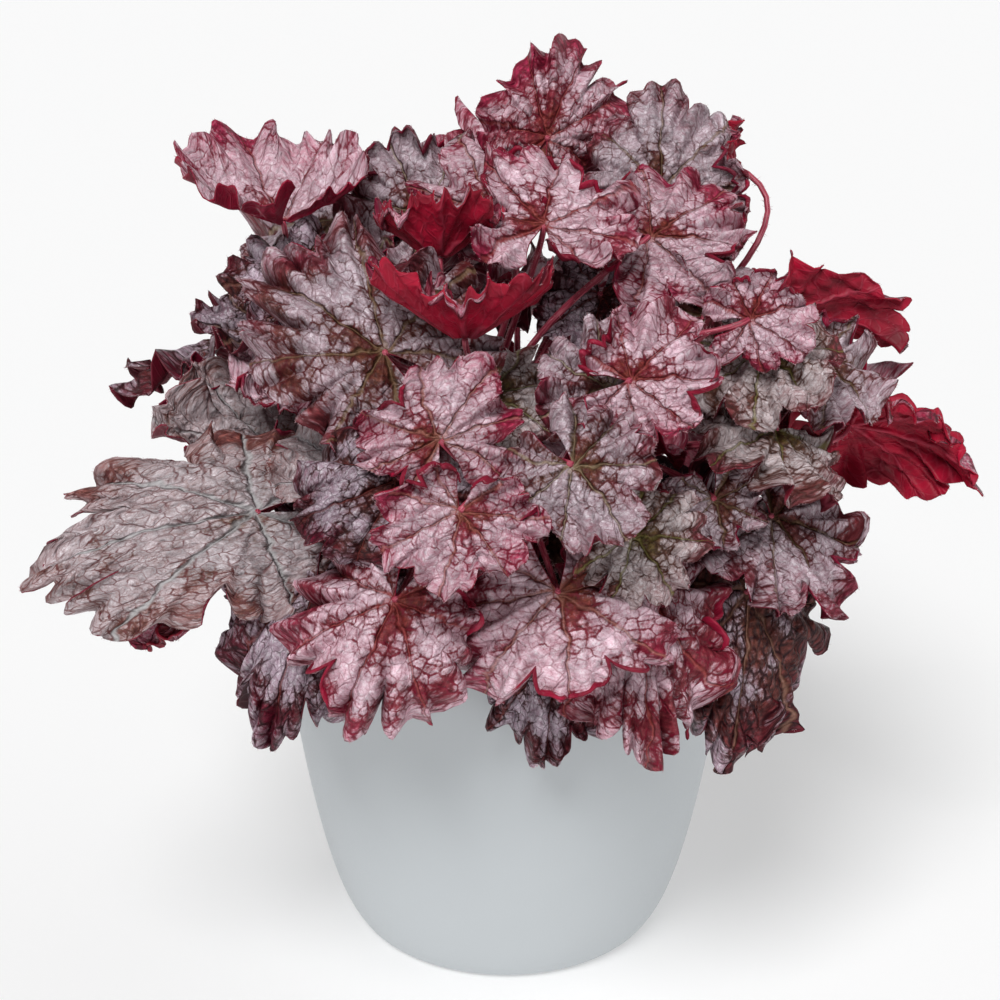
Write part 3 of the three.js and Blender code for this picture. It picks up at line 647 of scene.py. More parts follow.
def give_sockets(blades):
    """Gives each blade a socket on the crown's sunflower spiral; the outermost ones choose first."""
    turns = [n * GOLDEN_ANGLE for n in range(len(blades))]
    free = [
        SOCKET_SPACING * math.sqrt(n + 0.5) * np.array([math.cos(turn), math.sin(turn)])
        for n, turn in enumerate(turns)
    ]
    for blade in sorted(blades, key=lambda b: -math.hypot(b.place[0], b.place[1])):
        wish = blade.place[:2] * SOCKET_SHARE
        pick = min(range(len(free)), key=lambda n: np.linalg.norm(free[n] - wish))
        blade.socket = free.pop(pick)


def fit_petiole(blade):
    """Finds the run that its solid's petiole was grown with."""
    rings = np.arange(2, PETIOLE_STEPS) / PETIOLE_STEPS

    def stray(run):
        distance = nearest(petiole_point(blade, run, rings), blade.cloud)
        return np.median(np.abs(distance - PETIOLE_RADIUS))

    blade.run = min(petiole_runs(), key=stray)


def place_leaves():
    """The leaves, each set as its solid was grown."""
    owners = node_of_leaf()
    blades = [Blade(row, i + 1) for i, row in enumerate([*LEAVES, *tier_leaves()])]
    for blade in blades:
        blade.node = owners[blade.number]
        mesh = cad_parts[blade.node].data
        cloud = np.empty(len(mesh.vertices) * 3)
        mesh.vertices.foreach_get("co", cloud)
        blade.cloud = cloud.reshape(-1, 3) / MM
        fit_move(blade)
    give_sockets(blades)
    for blade in blades:
        fit_petiole(blade)
    return blades


# ---- Settings -----------------------------------------------------------------------------------


class LeafSettings(bpy.types.PropertyGroup):
    frill_depth: share_property(
        "Frill depth", "How far the frills lift the margin, as a share of the blade's length", 0.125, 0.2
    )
    tooth_depth: share_property(
        "Tooth depth", "Depth of the rounded teeth, as a share of the blade's length", 0.035, 0.3
    )
    margin_curl: share_property(
        "Margin curl", "Size of the margin's curls, as a share of the blade's length", 0.125, 0.3
    )
    quilt_height: size_property("Quilting", "How far the skin between the veins swells", 0.0012)
    blade_thickness: size_property("Blade thickness", "Thickness of a blade between its ribs", 0.0005)
    rib_height: size_property("Rib height", "How far the main ribs stand out below a blade", 0.0009)
    petiole_taper: share_property(
        "Petiole taper", "A petiole's radius at its blade over that in the crown", 0.62, 1, 0.2
    )
    hairs: count_property("Hairs", "Hairs on one petiole", 170, 1000)
    margin_hairs: count_property("Margin hairs", "Hairs round one blade's margin", 220, 1000)
    hair_length: size_property("Hair length", "Length of a petiole's hairs", 0.0016)


class PlantColours(bpy.types.PropertyGroup):
    pink_bloom: colour_property("Pink bloom", "Silvery veil of the pink leaves", "#e6c8d5")
    silver_bloom: colour_property("Silver bloom", "Silvery veil of the lilac-grey leaves", "#d2bfca")
    cream_bloom: colour_property("Cream bloom", "Silvery veil of the old pale leaves", "#c3b8bd")
    olive_bloom: colour_property("Olive bloom", "Silvery veil of the shaded leaves", "#cdbfc0")
    maroon_bloom: colour_property("Maroon bloom", "Thin veil of the dark leaves", "#c4b0c0")
    crimson_bloom: colour_property("Crimson bloom", "Thin veil of the youngest leaves", "#d98fa5")
    petiole: colour_property("Petiole", "Skin of the leaf stalks", "#a8394f")
    hair: colour_property("Hair", "Hairs of the leaf stalks", "#e6b9bf")
    rootstock: colour_property("Rootstock", "Bark of the woody crown", "#4a3226")
    soil: colour_property("Soil", "Moist peat", "#2b1c15")
    nursery_pot: colour_property("Nursery pot", "Black moulded plastic", "#17161a")
    cover_pot: colour_property("Cover pot", "White moulded plastic", "#c3c8cb")


class PotSettings(bpy.types.PropertyGroup):
    rim_roundness: size_property("Rim roundness", "Radius of the cover pot's rim edges", 0.0014)
    foot_roundness: size_property("Foot roundness", "Radius of the cover pot's lower edge", 0.004)
    crumbs: count_property("Crumbs", "Peat crumbs on the soil", 900, 5000, 0)


class StudioSettings(bpy.types.PropertyGroup):
    horizon: strength_property("Horizon", "Brightness of the white room round the floor", 0.95)
    sky: strength_property("Sky", "Strength of the even light from above", 0.15)
    key: strength_property("Key", "Strength of the soft main light", 2.6)
    fill: strength_property("Fill", "Strength of the softer light from the other side", 0.45)
    floor: colour_property("Floor", "Pale translucent table top", "#cccccc")
    glow: strength_property("Glow", "Light that comes up through the table top", 0.36)


def settings(name):
    return getattr(bpy.context.scene, "heuchera_" + name)


# ---- Leaves -------------------------------------------------------------------------------------

# Skin colours of each tone: near the petiole, half-way and at the margin where the bloom is worn off, the
# net of small veins, the main veins, and the lower face. Then how much silvery bloom covers the skin.
TONES = {
    "PINK": ("#7a3028", "#962a42", "#ae2850", "#74122a", "#94423e", "#8e1030", 0.82),
    "SILVER": ("#5f3526", "#702e32", "#8e2f46", "#54191f", "#7b6448", "#7c1230", 0.73),
    "CREAM": ("#7a684a", "#8a5a52", "#91524c", "#6a3c3c", "#b2b1b5", "#7a1a30", 1.2),
    "OLIVE": ("#64582a", "#6c4034", "#82303e", "#45221c", "#7c763f", "#6f1626", 0.66),
    "MAROON": ("#4c1f1c", "#5c1626", "#66102a", "#26060d", "#74322e", "#5e0f21", 0.56),
    "CRIMSON": ("#6f1a2c", "#8a1838", "#97183f", "#4a0b1b", "#a04458", "#9c0e2c", 0.5),
}
# Leaves whose bloom isn't their tone's: how much thinner it is, and how far the skin under it has browned.
WORN = {
    3: (0.08, 0.2), 7: (0.16, 0.25), 8: (0.36, 0.7), 9: (0.15, 0.3), 10: (0.45, 0.25),
    11: (-0.08, 0), 32: (-0.2, 0), 36: (0.38, 0.06), 37: (-0.32, 0), 39: (-0.12, 0), 40: (-0.12, 0),
}
NET_CELL = 3.3  # mm, the skin's panes between the smallest raised veins
FINE_CELL = 1.3  # mm, the veinlets inside a pane
SIDE_VEIN_SPACING = 8.5  # mm, along a main vein
MAIN_VEIN_WIDTH = 1.1  # mm
MAIN_VEIN_TAPER = 0.014  # of its width for each mm from the petiole
RIB_STRENGTH, OLD_RIB_STRENGTH = 0.6, 0.9  # how strongly a main vein is drawn on a young and an old blade

# What the skin leans to: browner flesh, greener veins and hub, and weathering.
BROWN_FLESH, GREEN_VEIN, GREEN_HUB, WEATHERED = "#6b5034", "#b5ae90", "#8a7c46", "#6d3432"
BROWN_SHARES = {"PINK": 0.2}  # the most that a tone's flesh leans to brown
GREEN_SHARES = {"PINK": 0.4}  # how much of the full green a tone's veins take up
BROWN_SHARE, GREEN_SHARE = 0.5, 1  # those of the other tones
SKIN_SEED = 900

LOBE_COLUMNS, BLADE_RINGS = 0.6, 0.41  # for each mm of blade
MARGIN_CROWDING = 1.35  # above 1, the rings lie closer towards the margin
RIB_HALF_WIDTH = 0.8  # mm
HAIR_RADIUS = 0.09  # mm
HAIR_SINK = 0.15  # mm that a hair's foot lies in the skin
HAIR_LENGTHS = (0.5, 1.2)  # shares of the hair length
MARGIN_HAIR_SHARE = 0.6  # length of a margin's hair over a petiole's
HAIR_SEED = 5000
PETIOLE_SIDES = 8
PETIOLE_RINGS = 26
PETIOLE_FOOT = 0.8  # of the full radius, so that it stands clear in its socket

# Where the parts of a leaf lie in the map named OFBake.
MAP_LEFT, MAP_WIDTH = 0.02, 0.94
MAP_BLADE_LENGTHS = 4.4  # blade lengths in the map's width
MAP_HUB, MAP_TO_UNDERSIDE = (0.2, 0.28), (0.5, 0)
MAP_RIM_LOW, MAP_RIM_HIGH = 0.6, 0.615
MAP_PETIOLE_LOW, MAP_PETIOLE_HEIGHT = 0.66, 0.14
MAP_HAIRS_LOW, MAP_HAIRS_HIGH = 0.9, 0.985
MAP_HAIR_COLUMNS = 60


# What a node of each sort is set to.
TIMES, PLUS, MINUS = {"operation": "MULTIPLY"}, {"operation": "ADD"}, {"operation": "SUBTRACT"}
MOST, SCALE = {"operation": "MAXIMUM"}, {"operation": "SCALE"}
COLOUR = {"output": 2, "data_type": "RGBA"}

VEIN_SWAY = 7  # mm that the veins wander
VEIN_SWAY_LENGTH = 9.1  # mm from one bend to the next

# The noises that the upper skin is drawn with: the size of their blots in mm, how many finer ones lie in
# them, and how strong those are.
SKIN_NOISES = {
    "zones": (16.7, 2, 0.5),  # where the bloom is thick or worn off
    "smudges": (5, 3, 0.6),  # the borders of those zones
    "grain": (0.91, 4, 0.75),
    "painted_glints_and_wear": (2, 4, 0.8),  # painted highlights (bright spots) and bare spots in the bloom
    "speckle": (0.67, 3, 0.8),
    "clouds": (7.7, 3, 0.65),  # lighter and darker bloom
    "mottle": (2.5, 3, 0.75),  # lighter and darker skin
    "net": (4, 2, 0.5),  # stronger and fainter veins of three kinds
    "fine": (5.6, 2, 0.5),
    "side": (10, 1, 0.5),
    "crumple": (6.25, 3, 0.5),
}
LOWER_CLOUDS = 8.3  # mm, darker and lighter places of the lower skin


def vein_distances(add, flat):
    """The distances in mm from flat leaf places to a main vein, to a side vein and to the petiole's end."""
    bends = add("TexNoise", {"Vector": flat, "Scale": 1 / VEIN_SWAY_LENGTH, "Detail": 2}, "Color")
    centred = add("VectorMath", [bends, (0.5, 0.5, 0.5)], **MINUS)
    sway = add("VectorMath", {0: centred, "Scale": VEIN_SWAY}, **SCALE)
    place = add("VectorMath", [flat, sway], **PLUS)
    x, y, _ = add("SeparateXYZ", [place]).node.outputs
    angle = add("Math", [y, x], operation="ARCTAN2")
    off = add("Math", [angle, LOBE_ANGLE / 2], operation="PINGPONG")
    radius = add("VectorMath", [place], "Value", operation="LENGTH")
    aside = add("Math", [radius, add("Math", [off], operation="SINE")], **TIMES)
    along = add("Math", [radius, add("Math", [off], operation="COSINE")], **TIMES)
    root = add("Math", [along, aside], **MINUS)
    to_side = add("Math", [root, SIDE_VEIN_SPACING / 2], operation="PINGPONG")
    return aside, to_side, radius


def cells(add, place, size):
    """The distance in mm to the nearest border of irregular cells of a size in mm, and a grey for each."""
    warp = add("TexNoise", {"Vector": place, "Scale": 0.9 / size, "Detail": 1}, "Color")
    shift = add("VectorMath", {0: warp, "Scale": 0.55 * size}, **SCALE)
    moved = add("VectorMath", [place, shift], **PLUS)
    border, tint = (
        add(
            "TexVoronoi", {"Vector": moved, "Scale": 1 / size, "Randomness": 0.85}, output,
            feature=feature, voronoi_dimensions="2D",
        )
        for feature, output in (("DISTANCE_TO_EDGE", "Distance"), ("F1", "Color"))
    )
    return add("Math", [border, size], **TIMES), add("SeparateColor", [tint])


def eased(add, *patterns, **settings):
    """Patterns eased between two of their values, and joined by nodes of these settings.

    A pattern is a value, where it starts and ends, and what it gives there: 0 and 1 if that isn't said.
    """
    total, *others = (add("MapRange", pattern, interpolation_type="SMOOTHSTEP") for pattern in patterns)
    for other in others:
        total = add("Math", [total, other], **settings)
    return total


def layered(add, total, *patterns):
    """A value with patterns added, each as the pattern, its value that adds nothing, and its weight."""
    for pattern, _, weight in patterns:
        total = add("Math", [pattern, weight, total], operation="MULTIPLY_ADD")
    return add("Math", [total, sum(none * weight for _, none, weight in patterns)], **MINUS)


def upper_skin():
    """Heuchera leaf, upper face: living skin under a silvery bloom of air-filled cells, which breaks along
    the veins. It gives the eye a pale satin veil in small panes, worn through to wine red in patches and
    ruled by a net of dark veins."""
    material, add = new_material("leaf skin under silver bloom")
    place = add("UVMap", uv_map="flat")
    tissue, bloom, vein, rib = (
        add("Attribute", attribute_name=name).node.outputs for name in ("tissue", "bloom", "vein", "rib")
    )
    noise = {
        name: add("TexNoise", {0: place, "Scale": 1 / size, "Detail": detail, "Roughness": rough}, "Fac")
        for name, (size, detail, rough) in SKIN_NOISES.items()
    }
    to_main, to_side, radius = vein_distances(add, place)
    to_net, pane = cells(add, place, NET_CELL)
    to_fine, _ = cells(add, place, FINE_CELL)

    # the bloom lies in zones with grainy borders and breaks along the net
    amount = layered(
        add, bloom["Alpha"],
        (noise["zones"], 0.5, 3.8), (noise["smudges"], 0.5, 2.2), (noise["grain"], 0.5, 1.6),
        (eased(add, (to_net, 0, 0.55)), 0.85, 0.32), (eased(add, (to_main, 0.3, 3, 0.3, 0)), 0, -1),
    )
    cover = eased(add, (amount, 0.02, 0.82, 0, 0.96))

    # painted highlights lighten the bloom in some spots, and it is rubbed off in others
    painted_glints_and_wear, speckle = noise["painted_glints_and_wear"], noise["speckle"]
    # pale: where a painted highlight lightens the bloom
    pale = eased(add, (painted_glints_and_wear, 0.44, 0.66, 0, 0.55), (speckle, 0.4, 0.62, 0.35, 1.3), **TIMES)
    worn = eased(add, (painted_glints_and_wear, 0.52, 0.3, 0, 0.45), (speckle, 0.5, 0.32, 0, 0.35), **PLUS)
    light = eased(add, (noise["clouds"], 0.3, 0.65, 0.65, 1.07), (pane, 0, 1, 0.84, 1.06), **TIMES)
    # the bare flesh is mottled at random, and darker next to the net than in the panes' middles: painted
    # shade of the puckered panes
    shade = eased(add, (noise["mottle"], 0.3, 0.7, 0.38, 1.35), (to_net, 0, 1.5, 0.7, 1.15), **TIMES)
    # the bloom is mixed towards near white where the painted highlights lie
    veil = add("Mix", {0: pale, 6: bloom["Color"], 7: linear("#f6f2f6")}, **COLOUR)
    lit = add("VectorMath", {0: veil, "Scale": light}, **SCALE)
    rubbed = add("Mix", {0: worn, 6: lit, 7: tissue["Color"]}, **COLOUR)
    flesh = add("VectorMath", {0: tissue["Color"], "Scale": shade}, **SCALE)
    colour = add("Mix", {0: cover, 6: flesh, 7: rubbed}, **COLOUR)

    # the net is drawn in thin strokes of uneven strength, fainter where the bloom lies over it
    net_width = eased(add, (cover, 0, 0.8, 0.85, 0.38))
    net = eased(add, (to_net, 0, net_width, 1, 0), (noise["net"], 0.38, 0.64, 0.2, 0.9), **TIMES)
    fine = eased(add, (to_fine, 0, 0.24, 0.5, 0), (noise["fine"], 0.45, 0.62), **TIMES)
    side = eased(add, (to_side, 0.05, 0.7, 0.8, 0), (noise["side"], 0.4, 0.58), **TIMES)
    lines = add("Math", [net, add("Math", [fine, side], **MOST)], **MOST)
    veiled = add("Math", [vein["Alpha"], eased(add, (cover, 0, 1, 1, 0.66))], **TIMES)
    lines = add("Math", [lines, veiled], **TIMES)
    colour = add("Mix", {0: lines, 6: colour, 7: vein["Color"]}, **COLOUR)
    full_width = add("Math", [rib["Alpha"], MAIN_VEIN_WIDTH / RIB_STRENGTH], **TIMES)
    width = add("Math", [radius, -MAIN_VEIN_TAPER, full_width], operation="MULTIPLY_ADD")
    main = eased(add, (to_main, 0.1, width, 1, 0))
    drawn = add("Math", [main, rib["Alpha"]], **TIMES)
    colour = add("Mix", {0: drawn, 6: colour, 7: rib["Color"]}, **COLOUR)

    swell = layered(
        add, 0, (noise["crumple"], 0, 3.2), (painted_glints_and_wear, 0, 0.45), (eased(add, (to_net, 0, 1.6)), 0, 0.3),
        (main, 0, -0.7), (side, 0, -0.4),
    )
    plain_shader(add, {
        "Base Color": colour, "IOR": 1.42, "Specular IOR Level": 0.3,
        "Roughness": eased(add, (painted_glints_and_wear, 0.3, 0.7, 0.55, 0.3)),
        "Normal": add("Bump", {"Strength": 1, "Distance": 0.0012, "Height": swell}),
    })
    return material


def lower_skin():
    """Heuchera leaf, lower face: smooth skin full of red pigment with raised, paler ribs. It gives the eye
    a deep crimson that is clearly darker and more even than the upper face."""
    material, add = new_material("crimson leaf underside")
    place = add("UVMap", uv_map="flat")
    below = add("Attribute", output="Color", attribute_name="below")
    to_main, to_side, _ = vein_distances(add, place)
    to_net, pane = cells(add, place, NET_CELL)
    ribs = eased(
        add, (to_main, 0, MAIN_VEIN_WIDTH, 1, 0), (to_side, 0, 0.8, 0.6, 0), (to_net, 0, 0.5, 0.25, 0),
        **MOST,
    )
    clouds = add("TexNoise", {"Vector": place, "Scale": 1 / LOWER_CLOUDS, "Detail": 4}, "Fac")
    shade = eased(add, (clouds, 0.3, 0.7, 0.6, 1.15), (pane, 0, 1, 0.93, 1.05), **TIMES)
    dark = add("VectorMath", {0: below, "Scale": shade}, **SCALE)
    faint = add("Math", [ribs, 0.22], **TIMES)
    plain_shader(add, {
        "Base Color": add("Mix", {0: faint, 6: dark, 7: linear("#c4586f")}, **COLOUR),
        "Roughness": 0.5, "IOR": 1.42, "Specular IOR Level": 0.3,
        "Normal": add("Bump", {"Strength": 0.8, "Distance": 0.0005, "Height": ribs}),
    })
    return material


def stalk_skin(tone):
    """Leaf stalk: juicy ribbed skin, redder along its ribs. It gives the eye a satin pink-red rod."""
    material, add = new_material("pink leaf stalk")
    stretched = add("Mapping", {"Vector": add("UVMap", uv_map="flat"), "Scale": (0.12, 1.1, 1)})
    streaks = add("TexNoise", {"Vector": stretched, "Scale": 1, "Detail": 3}, "Fac")
    stops = [(0.32, scaled(tone, 0.45)), (0.5, tone), (0.68, scaled(tone, 1.2, 0.12))]
    plain_shader(add, {
        "Base Color": add("ValToRGB", [streaks], stops=stops), "Roughness": 0.42, "IOR": 1.42,
        "Normal": add("Bump", {"Strength": 0.5, "Distance": 0.0003, "Height": streaks}),
    })
    return material


def hair_skin(tone):
    """Plant hairs: thin clear-walled cells. They give the eye a pale fuzz round the stalks."""
    material, add = new_material("pale plant hair")
    plain_shader(add, {"Base Color": scaled(tone, 0.8), "Roughness": 0.4, "IOR": 1.4})
    return material


def blade_grid(blade):
    """Angles across a blade and shares of the way to its margin, finer on a longer blade."""
    across = int(np.clip(blade.length * LOBE_COLUMNS * (1 + 0.6 * blade.funnel), 14, 46))
    rings = int(np.clip(blade.length * BLADE_RINGS, 9, 26))
    phi = np.linspace(-LOBES / 2, LOBES / 2, LOBES * across + 1) * LOBE_ANGLE
    s = 1 - (1 - np.arange(1, rings + 1) / rings) ** MARGIN_CROWDING
    return phi, s


def flat_places(blade, phi, s):
    """The grid's points as on a blade pressed flat."""
    radius = s[None, :] * blade.outline(phi)[:, None]
    return np.stack([radius * np.cos(phi)[:, None], radius * np.sin(phi)[:, None]], axis=-1)


def blade_surfaces(blade, leaf):
    """Upper and lower points of the fine blade in mm in the plant's frame, with the hub point first."""
    phi, s = blade_grid(blade)
    frill = Frill(blade, leaf)
    wide_phi = np.repeat(phi[:, None], len(s), axis=1)
    wide_s = np.repeat(s[None, :], len(phi), axis=0)
    middle = blade.local(wide_phi, wide_s, frill)
    along, across = np.gradient(middle, axis=1), np.gradient(middle, axis=0)
    normal = np.cross(along, across)
    normal /= np.linalg.norm(normal, axis=-1, keepdims=True) + 1e-9
    half = leaf.blade_thickness / MM / 2
    lobe = wide_phi / LOBE_ANGLE
    aside = wide_s * blade.length * np.abs(np.sin((lobe - np.round(lobe)) * LOBE_ANGLE))
    rib = leaf.rib_height / MM * np.exp(-((aside / RIB_HALF_WIDTH) ** 2)) * (1 - 0.85 * wide_s)
    top = middle + normal * half
    bottom = middle - normal * (half + rib)[..., None]
    up = normal[:, 0].mean(0)
    hub = middle[:, 0].mean(0)
    hub_top, hub_bottom = hub + up * half, hub - up * (half + leaf.rib_height / MM)
    shape = (len(phi), len(s))
    points = [
        np.vstack([hub_top[None], top.reshape(-1, 3)]),
        np.vstack([hub_bottom[None], bottom.reshape(-1, 3)]),
    ]
    return [blade.world(p) for p in points], shape, phi, s


def grid_faces(shape):
    """A fan round the hub point and the quads beyond it."""
    columns, rings = shape
    place = np.arange(columns * rings).reshape(shape) + 1
    fan = [(0, place[i, 0], place[i + 1, 0]) for i in range(columns - 1)]
    corners = (place[:-1, :-1], place[:-1, 1:], place[1:, 1:], place[1:, :-1])
    return fan + np.stack(corners, axis=-1).reshape(-1, 4).tolist()


def rim_faces(shape, below):
    """The wall between the upper and lower surface, round the whole outline from hub to hub."""
    columns, rings = shape
    place = np.arange(columns * rings).reshape(shape) + 1
    outline = [0, *place[0, :], *place[1:, -1], *place[-1, :-1][::-1], 0]
    return [(a, a + below, b + below, b) for a, b in zip(outline, outline[1:])]


def skin_colours(blade, phi, s, colours):
    """Colours of each grid point: living skin, bloom with its cover, veins and lower face."""
    *tones, cover = TONES[blade.tone]
    hub, middle, margin, vein, rib, below = (np.array(linear(tone)) for tone in tones)
    bloom = np.array(getattr(colours, blade.tone.lower() + "_bloom"))
    worn, weathered = WORN.get(blade.number, (0, 0))
    age = blade.age
    rng = np.random.RandomState(SKIN_SEED + blade.number)
    starts = rng.uniform(0, 2 * math.pi, 4)
    brown = rng.uniform(0, BROWN_SHARES.get(blade.tone, BROWN_SHARE))
    green = max(0, rng.uniform(-0.8, 0.6)) * (1 - 0.8 * age) * GREEN_SHARES.get(blade.tone, GREEN_SHARE)
    brightness = 1 + 0.12 * rng.uniform(-1, 1)
    lobe, s = phi[:, None] / LOBE_ANGLE, s[None, :]

    def blots(one, other):
        """Soft places from 0 to 1, from two waves: how fast round the blade and outwards, and the start."""
        return 0.5 + 0.5 * math.prod(np.cos(a * lobe + b * s + c) for a, b, c in (one, other))

    def leaning(colour, to, share):
        return between(colour, np.array(linear(to)), share)

    patch = blots((2.1, 3, starts[0]), (3.7, -4, starts[1]))
    rosy = blots((1.7, -5, starts[2]), (2.9, 0, starts[3]))
    blush = smooth_step(0.55, 1.0, s + 0.25 * (patch - 0.5)) * (0.35 + 0.65 * patch)
    centre = (1 - smooth_step(0.02, 0.47, s + 0.3 * (patch - 0.5))) * (1 - 0.65 * age)
    middle = leaning(middle, BROWN_FLESH, brown)
    rib = leaning(rib, GREEN_VEIN, green)
    hub = leaning(hub, GREEN_HUB, 0.5 * green)
    skin = middle + (margin - middle) * blush[..., None] + (hub - middle) * centre[..., None]
    skin = leaning(skin, WEATHERED, weathered)
    red = (0.25 + 0.3 * age) * blush + 0.22 * rosy
    veil = bloom * brightness + (margin - bloom) * red[..., None]
    thin = (cover - worn) * (1 - 0.6 * centre) * (1 - (0.45 + 0.45 * age) * blush)

    def packed(colour, alpha):
        table = np.empty((*patch.shape, 4))
        table[..., :3], table[..., 3] = colour, alpha
        table = table.reshape(-1, 4)
        return np.vstack([table[:1], table])

    return {
        "tissue": packed(skin, 1),
        "bloom": packed(veil, thin),
        "vein": packed(vein, 1 + 0.5 * age),
        "rib": packed(rib, between(RIB_STRENGTH, OLD_RIB_STRENGTH, age)),
        "below": packed(below * (0.68 + 0.55 * patch)[..., None], 1),
    }


def tube(centres, radii, sides):
    """Points of a tube round a line of centres, ring by ring, and which way each looks."""
    ahead = np.gradient(centres, axis=0)
    ahead /= np.linalg.norm(ahead, axis=1, keepdims=True) + 1e-9
    side = unit(np.cross(ahead[0], (0, 1, 0.3)))
    points, outward = [], []
    for centre, direction, radius in zip(centres, ahead, radii):
        side = unit(side - direction * (side @ direction))
        other = np.cross(direction, side)
        for k in range(sides):
            angle = 2 * math.pi * k / sides
            way = side * math.cos(angle) + other * math.sin(angle)
            outward.append(way)
            points.append(centre + way * radius)
    return np.array(points), np.array(outward)


def petiole_parts(blade, leaf):
    """A petiole's points, which way each looks, its flat map in mm and its faces."""
    t = np.linspace(0, 1, PETIOLE_RINGS)
    centres = petiole_point(blade, blade.run, t)
    radii = PETIOLE_RADIUS * between(1, leaf.petiole_taper, t)
    radii[0] *= PETIOLE_FOOT
    points, outward = tube(centres, radii, PETIOLE_SIDES)
    steps = np.linalg.norm(np.diff(centres, axis=0), axis=1)
    along = np.concatenate([[0], np.cumsum(steps)])
    around = np.arange(PETIOLE_SIDES) * (2 * math.pi * PETIOLE_RADIUS / PETIOLE_SIDES)
    flat = np.stack(np.meshgrid(along, around, indexing="ij"), axis=-1).reshape(-1, 2)
    *rings, last = range(0, PETIOLE_RINGS * PETIOLE_SIDES, PETIOLE_SIDES)
    faces = [f for ring in rings for f in band(ring, ring + PETIOLE_SIDES, PETIOLE_SIDES)]
    faces += [tuple(reversed(range(PETIOLE_SIDES))), tuple(range(last, last + PETIOLE_SIDES))]
    return points, outward, flat, faces


def spikes(roots, ways, lengths):
    """Three-sided spikes of the given lengths in mm, set a little into the skin."""
    side = unit(np.cross(ways, (0.3, 0.2, 1))) * HAIR_RADIUS
    other = np.cross(ways, side)
    foot = roots - ways * HAIR_SINK
    tip = foot + ways * (HAIR_SINK + lengths[:, None])
    points = np.stack([foot + side, foot - side / 2 + other, foot - side / 2 - other, tip], axis=1)
    first = 4 * np.arange(len(roots))[:, None, None]
    faces = first + np.array([(0, 1, 3), (1, 2, 3), (2, 0, 3), (2, 1, 0)])
    return points.reshape(-1, 3), faces.reshape(-1, 3).tolist()


def hair_parts(points, outward, top, shape, blade, leaf):
    """Hairs on the petiole's free part and round the blade's margin."""
    rng = np.random.RandomState(HAIR_SEED + blade.number)

    def sown(points, following, pick, outward, spread):
        """Roots between picked points and those that follow, and uneven ways out from there."""
        count = len(pick)
        roots = points[pick] + (points[following] - points[pick]) * rng.uniform(size=(count, 1))
        return roots, unit(outward[pick] + rng.normal(0, spread, (count, 3)))

    first_free = PETIOLE_SIDES * (PETIOLE_RINGS // 4)
    pick = rng.randint(first_free, len(points) - 2 * PETIOLE_SIDES, leaf.hairs)
    on_stalk = sown(points, pick + PETIOLE_SIDES, pick, outward, 0.35)
    grid = top[1:].reshape(*shape, 3)
    rim = grid[:, -1]
    pick = rng.randint(0, len(rim) - 1, leaf.margin_hairs)
    on_rim = sown(rim, pick + 1, pick, unit(rim - grid[:, -2]), 0.4)
    roots, ways = (np.vstack(pair) for pair in zip(on_stalk, on_rim))
    lengths = leaf.hair_length / MM * rng.uniform(*HAIR_LENGTHS, len(roots))
    lengths[leaf.hairs :] *= MARGIN_HAIR_SHARE
    return spikes(roots, ways, lengths)


def grow_leaf(blade, leaf, colours, materials):
    """One leaf: blade, petiole and hairs in one mesh, in place of its solid."""
    (top, bottom), shape, phi, s = blade_surfaces(blade, leaf)
    stalk, outward, stalk_flat, stalk_faces = petiole_parts(blade, leaf)
    hairs, hair_faces = hair_parts(stalk, outward, top, shape, blade, leaf)
    below = len(top)
    upper = grid_faces(shape)
    groups = [
        upper,
        [face[::-1] for face in shifted(upper, below)],
        rim_faces(shape, below),
        shifted(stalk_faces, 2 * below),
        shifted(hair_faces, 2 * below + len(stalk)),
    ]
    faces = [face for group in groups for face in group]
    kinds = np.concatenate([np.full(len(g), k) for g, k in zip(groups, (0, 1, 1, 2, 3))])
    points = np.vstack([top, bottom, stalk, hairs]) * MM
    piece = mesh_object(f"heuchera_leaf_{blade.number:02d}", points, faces, materials, kinds)
    blade_flat = flat_places(blade, phi, s).reshape(-1, 2)
    add_leaf_maps(piece.data, blade, groups, blade_flat, stalk_flat, len(hairs))
    for name, table in skin_colours(blade, phi, s, colours).items():
        rest = np.tile(table[0], (len(points) - 2 * below, 1))
        point_colours(piece.data, name, np.vstack([table, table, rest]))
    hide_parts(blade.node)
    return piece


